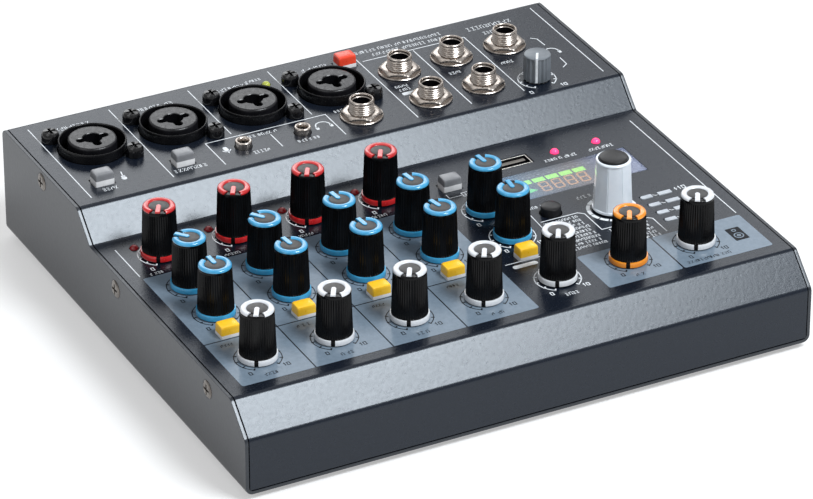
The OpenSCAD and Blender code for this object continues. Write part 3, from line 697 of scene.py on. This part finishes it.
def add_buttons():
    meshes = {tint: button_mesh(tint, height) for tint, height in SKIRT_HEIGHTS.items()}
    rows = [(f"mute_button_{i}", "yellow", PANEL_Z, "button_yellow") for i in STRIPS]
    rows += [("route_button", "grey_button", PANEL_Z, "button_grey")]
    rows += [(n, "grey_button", DECK_Z, "button_grey") for n in ("hi_z_button", "low_cut_button")]
    rows += [("phantom_button", "red_button", DECK_Z, "button_red")]
    for node, tint, top, slot in rows:
        stand(node, meshes[tint], top)
    node = "mode_button"
    b = Build()
    stem = [(1.6, -9.2), (1.6, -2.2), (4.38, -2.2), (4.38, -1.25), (3.45, -1.2)]
    dome = [(3.48, 2.3), (3.38, 2.62), (3.1, 2.82), (2, 2.93), (0.1, 2.97)]
    b.lathe(stem + dome, 96, "cap")
    stand(node, b.done(node), PANEL_Z)


# ---- sockets

BORE_R = 3.25
COMBO_X, COMBO_PITCH, COMBO_Y, COMBO_COUNT = -81.3, 29.9, 162.05, 4
COMBO_SCREW = Vector((10.6, -10.85, 0)) * MM
JACKS = ((9.1, 140.9), (35, 163.2), (35.6, 140.9), (55.8, 164.3), (56.2, 141.4), (76.3, 163.7))
MINI_JACKS = ((-35.8, 139.9), (-13.8, 139.6))


def lobed(bore, half, far):
    """Outline of a combo socket's middle: a hole with three lobes in a T, half wide, far out."""
    def radius(angle):
        best = bore
        for lobe in (0, 180, 270):
            off = (angle - radians(lobe) + pi) % (2 * pi) - pi
            if abs(off) > pi / 2:
                continue
            side = abs(sin(off))
            r = half / side if side > 1e-6 else 1e6
            if r * cos(off) > far:
                inside = half ** 2 - (far * sin(off)) ** 2
                r = far * cos(off) + sqrt(inside) if inside > 0 else 0
            best = max(best, r)
        return best
    return radius


def combo_housing_mesh():
    """Ring, well and flange of a combo socket; z = 0 is the connector panel."""
    b = Build()
    ring = [(10.9, -22), (10.9, 2.55), (10.94, 2.95), (11.04, 3.22), (11.2, 3.36)]
    ring += [(11.36, 3.38), (11.52, 3.28), (11.61, 3.02), (11.63, 2.6), (11.63, 0.4)]
    ring += [(11.63, -3.3), (11.1, -3.3), (11.1, -27)]
    b.tube(ring, 144, "socket")
    b.tube([(10.9, -22), (8.35, -22)], 144, "socket")
    b.tube([(11.1, -27), (0.2, -27)], 144, "socket")
    return b.done("combo_housing")


def combo_insert_mesh():
    """Inner body of a combo socket with its three-lobed mouth."""
    b = Build()
    n = 216
    outer = [(8.33, -22), (8.33, 2.9), (8.28, 3.35), (8.14, 3.68), (7.9, 3.88), (7.6, 3.96)]
    b.tube(outer, n, "insert")
    mouth = lobed(BORE_R, 1.3, 4.4)
    wide = lobed(BORE_R + 0.22, 1.52, 4.4)
    levels = [(lambda _a: 7.6, 3.96), (wide, 3.97), (mouth, 3.75), (mouth, 1)]
    levels += [(lambda _a: BORE_R, 1), (lambda _a: BORE_R, -14)]
    rings = [b.ring(circle(n, z, radius)) for radius, z in levels]
    for i, (low, high) in enumerate(zip(rings, rings[1:])):
        b.band(low, high, "insert" if i < 2 else "socket")
    b.face(rings[-1], "socket")
    return b.done("combo_insert", 30)


def pan_screw_mesh(name, head_r, head_h):
    """A pan head with a real cross recess; z = 0 is the surface it bears on."""
    b = Build()
    n = 96
    arm, width = head_r * 0.62, head_r * 0.14

    def cross(angle):
        c, s = abs(cos(angle)), abs(sin(angle))
        big, small = max(c, s), min(c, s)
        r_end = arm / big
        return min(r_end, width / small) if small * r_end > width else r_end

    rim = (head_r * 0.8, head_h * 0.95)
    outside = [(head_r - 0.12, 0), (head_r, 0.15), (head_r, head_h * 0.55)]
    outside += [(head_r * 0.93, head_h * 0.8), rim]
    b.lathe(outside, n, "screw", top=False)
    rings = [b.ring(circle(n, rim[1], lambda _a: rim[0]))]
    for scale, z in ((1, head_h), (0.8, head_h * 0.45), (0.1, head_h * 0.4)):
        rings.append(b.ring(circle(n, z, lambda a: cross(a) * scale)))
    for low, high in zip(rings, rings[1:]):
        b.band(low, high, "screw")
    b.face(rings[-1], "screw")
    return b.done(name, 30)


def threaded(depth, pitch, low, high):
    """Radius of a right-hand thread between two heights, running out at both ends."""
    def reach(angle, radius, height):
        run_in = max(0, (height - low) / pitch)
        run_out = max(0, (high - height) / (0.5 * pitch))
        phase = (height / pitch - angle / (2 * pi)) % 1.0
        groove = abs(2 * phase - 1)
        return radius - depth * min(1, run_in, run_out) * (1 - groove) ** 1.2
    return reach


def hexagon(flats):
    """A round cut to six flats that far apart."""
    def reach(angle, radius, _height):
        off = (angle + pi / 6) % (pi / 3) - pi / 6
        return min(radius, flats / 2 / cos(off))
    return reach


def jack_barrel_mesh():
    """Threaded barrel with a chamfered mouth and a dark bore; z = 0 is the connector panel."""
    b = Build()
    rim, outer, foot, steps = 6.7, 4.34, -3, 110
    side = [(outer, foot + (rim - 0.5 - foot) * k / steps) for k in range(steps + 1)]
    side += [(outer - 0.1, rim - 0.32), (outer - 0.24, rim - 0.12), (outer - 0.38, rim - 0.02)]
    side += [(outer - 0.5, rim), (3.72, rim - 0.05), (3.6, rim - 0.22), (3.55, rim - 0.7)]
    side += [(3.5, rim - 1.1), (BORE_R, rim - 1.3)]
    thread = threaded(0.46, 0.79, 1, rim - 0.8)
    b.tube(side, 96, "nickel", lambda a, r, z: thread(a, r, z) if r > outer - 0.01 else r)
    b.tube([(BORE_R, rim - 1.3), (BORE_R, -20), (0.1, -20)], 96, "socket")
    b.lathe([(6, foot), (6, -1.2), (4.36, -1.2)], 96, "nickel", top=False)
    return b.done("jack_barrel", 40)


def jack_nut_mesh():
    """Washer and chamfered hexagon nut of a jack; z = 0 is the connector panel."""
    b = Build()
    washer = [(4.45, 0), (7.3, 0), (7.48, 0.15), (7.48, 0.5), (7.3, 0.68), (4.45, 0.7)]
    b.tube(washer, 120, "nickel_nut")
    flats = 12.6
    corner = flats / sqrt(3)
    nut = [(4.45, 0.7), (corner - 0.25, 0.7), (corner, 0.85)]
    nut += [(corner, 0.85 + 0.55 * k / 3) for k in range(1, 4)]
    nut += [(corner - 0.4, 1.62), (corner - 0.8, 1.84), (6, 2.12), (5.4, 2.26)]
    nut += [(4.8, 2.28), (4.45, 2.1)]
    b.tube(nut, 144, "nickel_nut", hexagon(flats))
    return b.done("jack_nut", 28)


def mini_jack_mesh():
    """Nose of a 3.5 mm jack with its ring; z = 0 is the connector panel."""
    b = Build()
    nose = [(3, -1), (2.9, 0.3), (2.9, 1.9), (2.82, 2.22), (2.6, 2.38), (2.25, 2.38)]
    nose += [(1.95, 2.2), (1.8, 1.95), (1.8, 0.2)]
    b.tube(nose, 96, "nickel")
    b.tube([(1.8, 0.2), (1.8, -12), (0.1, -12)], 64, "socket")
    return b.done("mini_jack", 40)


def shared(name, mesh, spots, replaced=()):
    """Places one mesh at several points; the first copy stands for the CAD nodes."""
    for i, at in enumerate(spots):
        place(f"{name}_{i + 1}", mesh, replaced if i == 0 else (), at)


def add_sockets():
    combos = [spot(COMBO_X + COMBO_PITCH * i, COMBO_Y, DECK_Z) for i in range(COMBO_COUNT)]
    shared("combo_housing", combo_housing_mesh(), combos, ("combo_housings",))
    shared("combo_insert", combo_insert_mesh(), combos, ("combo_inserts",))
    screws = [c + side * COMBO_SCREW for c in combos for side in (-1, 1)]
    shared("combo_screw", pan_screw_mesh("combo_screw", 3.08, 3.85), screws,
           ("combo_screws",))
    jacks = [spot(x, y, DECK_Z) for x, y in JACKS]
    shared("jack_barrel", jack_barrel_mesh(), jacks, ("jack_barrels",))
    shared("jack_nut", jack_nut_mesh(), jacks, ("jack_nuts",))
    minis = [spot(x, y, DECK_Z) for x, y in MINI_JACKS]
    shared("mini_jack", mini_jack_mesh(), minis, ("mini_jacks",))


# ---- lamps, meter and display

PEAK_LAMP = Vector((-6, 7.3, 0)) * MM
METER_ROWS = (46, 51.3, 56.8, 62.4)
METER_COLUMNS = ((75.75, 4.3), (82.7, 5))
LENS_HALF = 0.98 * MM


def lamp_mesh(name, look):
    """A 3 mm lamp that shows a little more than its half dome."""
    b = Build()
    r, sunk = 1.5, 0.3
    dome = [(r, -1.5), (r, -sunk)]
    for tilt in range(10, 90, 10):
        a = radians(tilt)
        dome.append((r * cos(a), r * sin(a) - sunk))
    b.lathe(dome + [(0.05, 1.19)], 48, look)
    return b.done(name)


def add_lamps():
    peaks = [middle(f"gain_knob_{i}", PANEL_Z) + PEAK_LAMP for i in GAIN_STRIPS]
    shared("peak_lamp", lamp_mesh("peak_lamp", "lamp_red"), peaks, ("indicator_leds",))
    lit = [spot(63.5, 103.8, PANEL_Z), spot(79.5, 103.8, PANEL_Z)]
    shared("player_lamp", lamp_mesh("player_lamp", "lamp_lit"), lit)
    place("phantom_lamp", lamp_mesh("phantom_lamp", "lamp_lime"), (),
          spot(-10, 175.8, DECK_Z))


def add_meter():
    """Eight lenses: rounded at the left end in the left column, square in the right one."""
    b = Build()
    r = LENS_HALF
    for column, (x, width) in enumerate(METER_COLUMNS):
        for y in METER_ROWS:
            at = spot(x, y)
            half = width / 2 * MM
            left = [(-half, r), (-half, -r)]
            if column == 0:
                turn = [radians(a) for a in range(0, 181, 20)]
                left = [(-half + r - r * sin(a), r * cos(a)) for a in turn]
            outline = [(at.x + px, at.y + py) for px, py in left + [(half, -r), (half, r)]]
            b.slab(outline, PANEL_Z - 3 * MM, PANEL_Z + LENS_PROUD, "lens")
    put(b, "meter_lenses", ("meter_leds",))


def add_display():
    """Film window over a dark screen with a row of bars, a play mark and four unlit figures."""
    low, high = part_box("display_window")
    face = box_outline(low.x, low.y, high.x, high.y)
    level = low.z + 0.3 * MM
    top = level + 0.05 * MM
    b = Build()
    b.slab(face, low.z + 0.6 * MM, high.z - 0.05 * MM, "window")
    put(b, "window_film", ("display_window",))
    b = Build()
    b.slab(face, low.z, level, "screen")
    put(b, "screen_face")
    b = Build()
    for k in range(5):
        at = spot(45.1 + 5.15 * k, 90.8)
        half_w, half_h = 2.2 * MM, 1.3 * MM
        bar = box_outline(at.x - half_w, at.y - half_h, at.x + half_w, at.y + half_h)
        b.slab(bar, level, top, "bars")
    put(b, "display_bars")
    b = Build()
    b.slab([spot(43.6, 84), spot(46.9, 84.7), spot(43.9, 87.2)], level, top, "play")
    put(b, "display_play")
    b = Build()
    for k in range(4):
        digit(b, spot(48.5 + 4.9 * k, 82.9), 3, 5.8, level, top)
    put(b, "display_figures")
    ink = Print(level, "white")
    for k in range(16):
        x, shift = 42.0 + 1.9 * k, 0.3 * (k % 3)
        ink.box(x, 93.2 + shift, x + 0.5 + 0.2 * (k % 2), 93.6 + shift)
    ink.done("display_specks")


def digit(b, at, w, h, low, high):
    """All seven strokes of a slanted figure; its size in mm, its lower left corner in metres."""
    thick, slant, gap = 0.62, 0.06, 0.12
    strokes = [
        ((gap, 0), (w - gap, 0)), ((gap, h / 2), (w - gap, h / 2)), ((gap, h), (w - gap, h)),
        ((0, gap), (0, h / 2 - gap)), ((0, h / 2 + gap), (0, h - gap)),
        ((w, gap), (w, h / 2 - gap)), ((w, h / 2 + gap), (w, h - gap)),
    ]
    for start, end in strokes:
        along = (Vector(end) - Vector(start)).normalized()
        side = Vector((-along.y, along.x)) * thick / 2
        tip = along * thick / 2 * 0.4
        a, c = Vector(start) + tip, Vector(end) - tip
        points = [a - tip, a - side, c - side, c + tip, c + side, a + side]
        outline = [(at.x + (p.x + slant * p.y) * MM, at.y + p.y * MM) for p in points]
        b.slab(outline, low, high, "digits")


# ---- printing

INK = 0.03 * MM
LINE = 0.34
DARK_LINE = 0.42
DIAL_END, DIAL_TICKS = 146, 11
SIGN_PITCH = 0.8
# Strokes of seven made-up signs in a unit cell: x0, y0, x1, y1.
STROKES = (
    ((0, 0, 0, 1), (0.3, 1, 1, 1), (1, 0, 1, 0.7)),
    ((0, 0, 1, 0), (0, 0.5, 1, 0.5), (1, 0.5, 1, 1)),
    ((0, 1, 1, 1), (0.5, 0.2, 0.5, 0.8), (0, 0, 1, 0)),
    ((0, 0, 1, 1), (0, 0.9, 0.4, 0.9), (0.6, 0.1, 1, 0.1)),
    ((0, 0, 0, 0.6), (0, 0.6, 1, 1), (1, 1, 1, 0.3)),
    ((0, 0.2, 0.5, 0), (0.5, 0, 1, 0.2), (0.1, 0.5, 0.9, 0.5), (0, 1, 1, 0.8)),
    ((0.1, 0, 0.1, 1), (0.6, 0, 0.6, 1), (0.6, 0.5, 1, 0.5)),
)
FIGURES = {
    "0": [[(0, 0), (1, 0), (1, 1), (0, 1), (0, 0)]],
    "1": [[(0.5, 0), (0.5, 1), (0.15, 0.75)]],
    "5": [[(1, 1), (0, 1), (0, 0.55), (1, 0.55), (1, 0), (0, 0)]],
    "+": [[(0, 0.5), (1, 0.5)], [(0.5, 0), (0.5, 1)]],
    "-": [[(0, 0.5), (1, 0.5)]],
}


class Print:
    """Flat ink shapes on one panel; everything is given in case millimetres."""

    def __init__(self, z, look, level=1):
        self.build, self.z, self.look, self.level = Build(), z, look, level

    def shape(self, points):
        outline = [tuple(spot(x, y))[:2] for x, y in points]
        area = sum(a[0] * b[1] - b[0] * a[1] for a, b in zip(outline, outline[1:] + outline[:1]))
        outline = outline if area > 0 else outline[::-1]
        self.build.slab(outline, self.z - INK, self.z + INK * self.level, self.look)

    def line(self, points, width=LINE, closed=False):
        """A stroke along points with mitred corners."""
        pts = [Vector(p) for p in points]
        n = len(pts)
        left, right = [], []
        for i, p in enumerate(pts):
            before = pts[i - 1] if i > 0 or closed else None
            after = pts[(i + 1) % n] if i < n - 1 or closed else None
            ways = [(p - before).normalized()] if before is not None else []
            ways += [(after - p).normalized()] if after is not None else []
            way = sum(ways, Vector((0, 0))).normalized()
            normal = Vector((-way.y, way.x))
            stretch = 1 / max(0.3, way.dot(ways[0]))
            left.append(p + normal * width / 2 * stretch)
            right.append(p - normal * width / 2 * stretch)
        for i in range(n if closed else n - 1):
            j = (i + 1) % n
            self.shape([right[i], right[j], left[j], left[i]])

    def arc(self, x, y, r, start, end, width=LINE, n=24):
        """A stroke along an arc, in degrees clockwise from the rear."""
        turn = [radians(start + (end - start) * k / n) for k in range(n + 1)]
        self.line([(x + r * sin(a), y + r * cos(a)) for a in turn], width)

    def box(self, x0, y0, x1, y1, r=0, n=5):
        """A filled rectangle, with round corners if r is given."""
        if r <= 0:
            self.shape(box_outline(x0, y0, x1, y1))
            return
        corners = ((x1 - r, y0 + r), (x1 - r, y1 - r), (x0 + r, y1 - r), (x0 + r, y0 + r))
        points = []
        for i, (cx, cy) in enumerate(corners):
            for k in range(n + 1):
                a = radians(90 * (i - 1) + 90 * k / n)
                points.append((cx + r * cos(a), cy + r * sin(a)))
        self.shape(points)

    def marks(self, x, y, width, height, seed, stroke=0.24):
        """A row of short abstract strokes that stands in for a line of small print."""
        draw = random.Random(seed)
        cell = height * SIGN_PITCH
        pen = x
        while pen + cell * 0.8 <= x + width:
            w = cell * draw.uniform(0.5, 0.74)
            for x0, y0, x1, y1 in draw.choice(STROKES):
                ends = [(pen + x0 * w, y + y0 * height), (pen + x1 * w, y + y1 * height)]
                self.line(ends, stroke)
            pen += cell + draw.choice((0, 0, 0, 0, 0, cell * 0.6))

    def figure(self, text, x, y, height, stroke=0.26):
        """Plain figures drawn with strokes."""
        w = height * 0.58
        for k, sign in enumerate(text):
            for points in FIGURES[sign]:
                left = x + k * w * 1.4
                self.line([(left + px * w, y + py * height) for px, py in points], stroke)

    def dial(self, node, reach=7.7):
        """Arc, ticks and end figures round a knob."""
        at = middle(node)
        x, y = at.x / MM, (at.y - CASE_LOW.y) / MM
        self.arc(x, y, reach, -DIAL_END, DIAL_END, LINE, 40)
        for k in range(DIAL_TICKS):
            a = radians(-DIAL_END + 2 * DIAL_END * k / (DIAL_TICKS - 1))
            ends = (reach - 0.9, reach + 0.3)
            self.line([(x + r * sin(a), y + r * cos(a)) for r in ends], 0.5)
        self.figure("0", x - 6.8, y - 8.7, 1.6, 0.3)
        self.figure("10", x + 5.3, y - 8.4, 1.6, 0.3)

    def headphones(self, x, y, r):
        """A plain headphones sign: a bow and two pads."""
        self.arc(x, y, r, -110, 110, 0.4, 16)
        for side in (-1, 1):
            pad = x + side * r
            self.box(pad - 0.55, y - 1.9, pad + 0.55, y - 0.2, 0.3)

    def microphone(self, x, y):
        """A plain microphone sign: a capsule on a stand."""
        self.box(x - 0.8, y - 1, x + 0.8, y + 1.8, 0.75)
        self.arc(x, y, 1.5, 100, 260, 0.35, 10)
        self.line([(x, y - 1.5), (x, y - 2.6)], 0.35)

    def done(self, name):
        put(self.build, name)


# Rows of abstract stand-in strokes: x, y, width, height, seed.
DECK_MARKS = (
    (-90, 133.1, 5.8, 1.8, 20), (-63.8, 133.4, 12, 1.9, 21), (-32.6, 144, 12.5, 1.6, 22),
    (-34.6, 133.4, 6.2, 1.6, 23), (-18, 133.6, 9.8, 1.6, 24), (2, 146.6, 8.2, 1.6, 25),
    (-16, 179.6, 6.4, 1.4, 26), (27.2, 181, 34, 1.7, 27), (32, 177.6, 30, 1.7, 28),
    (70, 178.6, 19, 2.2, 29), (74, 174, 12, 1.8, 30), (28.5, 152.6, 5.4, 1.5, 31),
    (28.5, 150.2, 5.4, 1.5, 32), (49.5, 153, 5.4, 1.5, 33), (69, 151.6, 5.4, 1.5, 34),
)
PANEL_MARKS = (
    (37, 72.3, 9, 1.6, 98), (54.5, 71.4, 9, 1.6, 99), (57.4, 98.6, 12, 1.5, 100),
    (74.2, 98.6, 10, 1.5, 101),
)
DECK_UPRIGHTS = (
    (-95.55, 131.2, 183.6), (-65.5, 131.4, 183.9), (-35.8, 149.5, 184), (-5.5, 149.4, 184),
    (25.6, 131, 177.7), (46.3, 131.3, 174.8), (66.6, 131.2, 175.5), (97.55, 131.2, 184.2),
)
DECK_LINES = (
    [(27, 175.5), (66.6, 175.5)],
    [(-46.5, 131.3), (-46.5, 147.3), (-1.5, 147.3), (-1.5, 131.6)],
    [(-24.1, 133.8), (-24.1, 143.1)],
    [(86.8, 164.3), (88.6, 162.7), (88.9, 157.4)],
    [(89.1, 146.9), (88.9, 141.8), (86.7, 140.2)],
)
ZONES = ((-96.2, 15.4, 9.7, 90.2), (35.8, 15.8, 63.3, 38.1), (63.9, 15.8, 97.2, 38.1))
LIST_FRAME = (
    (36.3, 63.6), (50.2, 63.6), (52, 62), (52, 50.2), (69.2, 50.2), (70.6, 49),
    (70.6, 39.4),
)
LIST_PITCH = 2.35
METER_FIGURES = (("+5", 56.4), ("0", 50.8), ("-10", 45.4))
# Middle and radius of the broken ring round the encoder.
ENCODER_RING = (62, 61, 8.1)


def print_deck(ink):
    """White lines, dial and stand-in strokes of the connector panel."""
    for x, y0, y1 in DECK_UPRIGHTS:
        ink.line([(x, y0), (x, y1)])
    for points in DECK_LINES:
        ink.line(points)
    for i in range(COMBO_COUNT):
        x = COMBO_X + COMBO_PITCH * i
        ink.marks(x - 6, 177.9, 13.8, 2, 10 + i)
        ink.box(x - 9.4, 177.2, x - 8.2, 179.6, 0.4)
    for row in DECK_MARKS:
        ink.marks(*row)
    # A plain guitar sign: two rounds and a neck.
    ink.box(-81.3, 137.3, -79.5, 139.3, 0.85)
    ink.box(-81, 138.9, -79.6, 140.2, 0.6)
    ink.line([(-80.3, 139.8), (-79.7, 142.8)], 0.36)
    ink.box(28.4, 147, 35, 148.9, 0.5)
    ink.headphones(-5.6, 140.6, 2.6)
    ink.headphones(88.6, 152, 2.6)
    ink.microphone(-42, 140.4)
    ink.dial("phones_knob", 6.6)


def print_zones(ink):
    """Light areas under the equaliser and volume knobs."""
    for zone in ZONES:
        ink.box(*zone, 0.8)


def print_dark(ink):
    """Dark lines, dials and stand-in strokes on the light areas."""
    for x in (-70.5, -43, -16.6):
        ink.line([(x, 15.4), (x, 90.2)], DARK_LINE)
    ink.line([(-96.2, 43.4), (9.7, 43.4)], DARK_LINE)
    for i in STRIPS[:4]:
        for knob in ("eq_high", "eq_low", "volume"):
            ink.dial(f"{knob}_knob_{i}")
        x = middle(f"volume_knob_{i}").x / MM
        ink.marks(x - 2.6, 17.8, 5, 1.6, 40 + i)
        ink.marks(x + 9, 56, 3.4, 1.4, 50 + i)
        ink.marks(x + 9, 75.4, 3.4, 1.4, 60 + i)
        ink.marks(x - 7.6, 39.6, 5.2, 1.4, 70 + i)
    ink.dial("fx_knob")
    ink.dial("main_knob")
    ink.marks(47.6, 18.2, 3.7, 1.6, 80)
    ink.marks(66.4, 17.5, 16.5, 1.5, 81)
    ink.box(87.7, 23.3, 92.8, 31.4, 0.3)


def print_panel(ink):
    """White lines, dials and stand-in strokes on the dark parts of the control panel."""
    ink.line([(96.95, 39.6), (96.95, 111.2)])
    ink.line([(-96.4, 91.8), (-96.4, 111.3)])
    for i in GAIN_STRIPS:
        ink.dial(f"gain_knob_{i}", 7.4)
        ink.marks(middle(f"gain_knob_{i}").x / MM - 8.6, 91, 6, 1.4, 90 + i)
    for node in ("eq_high_knob_5", "eq_low_knob_5", "volume_knob_5"):
        ink.dial(node)
    x = middle("eq_high_knob_5").x / MM
    ink.marks(x + 0.5, 67.6, 7, 1.5, 95)
    ink.marks(x - 2.6, 17.8, 5, 1.6, 96)
    ink.line([(17, 94.2), (17, 91.6), (21.5, 91.6)], 0.3)
    ink.line(box_outline(22, 90.6, 28, 93), 0.3, True)
    ink.marks(22.9, 91.1, 4.6, 1.1, 97, 0.2)
    for row in PANEL_MARKS:
        ink.marks(*row)
    ink.box(14, 40.3, 23, 42.3, 0.9)
    ink.line([(12.5, 44), (30, 44)], 0.3)
    ink.line([(35.5, 69), (35, 59.3)], 0.3)
    ink.line(LIST_FRAME)
    for row in range(9):
        ink.marks(36.6, 60.9 - LIST_PITCH * row, 13.4, 1.35, 110 + row, 0.22)
        if row < 5:
            ink.marks(54, 47.7 - LIST_PITCH * row, 14.4, 1.35, 130 + row, 0.22)
    for k in range(14):
        start = -166 + 24 * k
        ink.arc(*ENCODER_RING, start, start + 21, 1.25, 5)
    for y in METER_ROWS:
        ink.line([(78.3, y + 0.4), (78.9, y - 0.4), (79.9, y - 0.4)], 0.22)
    ink.figure("+10", 86.7, 62, 1.9, 0.3)
    for text, y in METER_FIGURES:
        ink.figure(text, 86.7, y, 1.7)


def print_speaker(ink):
    """A plain loudspeaker sign in light ink on its dark square."""
    ink.arc(90.25, 26.2, 1.55, 0, 360, 0.4, 28)
    ink.arc(90.25, 26.2, 0.5, 0, 360, 0.5, 14)
    ink.arc(90.25, 29.7, 0.65, 0, 360, 0.35, 16)


def add_prints():
    prints = (
        ("deck_print", print_deck, DECK_Z, "white", 1),
        ("zone_print", print_zones, PANEL_Z, "zone", 1),
        ("dark_print", print_dark, PANEL_Z, "dark", 2),
        ("panel_print", print_panel, PANEL_Z, "white", 2),
        ("speaker_print", print_speaker, PANEL_Z, "zone", 3),
    )
    for name, draw, z, look, level in prints:
        ink = Print(z, look, level)
        draw(ink)
        ink.done(name)


# ---- case and the rest

COVER_JOINT_Y = 115.53
# The hidden CAD nodes that keep their shape, and their looks.
INNER_LOOKS = {
    "main_board": "board", "jack_board": "board", "board_standoffs": "steel",
    "ribbon_cable": "ribbon", "jack_bodies": "socket", "potentiometers": "steel",
    "switch_bodies": "ivory", "encoder_body": "steel", "display_module": "screen",
    "encoder_shaft": "ivory",
}


def add_case():
    """The case and the rear wall's fittings, each with its edge round in mm."""
    refined("bottom_chassis", "chassis", 0.16)
    refined("top_cover", "coat", 0.11, joint=spot(0, COVER_JOINT_Y).y)
    refined("case_screws", "bronze", 0.06)
    refined("rubber_feet", "rubber", 0.25)
    refined("power_switch_body", "socket", 0.2)
    refined("power_rocker", "cap", 0.25, body="power_rocker")
    refined("power_inlet", "socket", 0.12)


def add_usb_sockets():
    """Bright shells; the tongue of the panel socket is light, everything deeper is dark."""
    usb = refined("usb_sockets", "steel", 0.06)
    usb.data.materials.append(MATERIALS["tongue"])
    usb.data.materials.append(MATERIALS["socket"])
    for face in usb.data.polygons:
        depth = (PANEL_Z - face.center.z) / MM
        if 0.6 < depth < 1.2 and face.normal.z > 0.9:
            face.material_index = 1
        elif depth > 0.8:
            face.material_index = 2


def finish_inner_nodes():
    for node, look in INNER_LOOKS.items():
        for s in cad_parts[node].material_slots:
            s.material = MATERIALS[look]


add_camera()
add_stage()
MATERIALS = make_materials()
add_case()
add_usb_sockets()
finish_inner_nodes()
add_sockets()
add_knobs()
add_phones_knob()
add_encoder()
add_buttons()
add_lamps()
add_meter()
add_display()
add_prints()
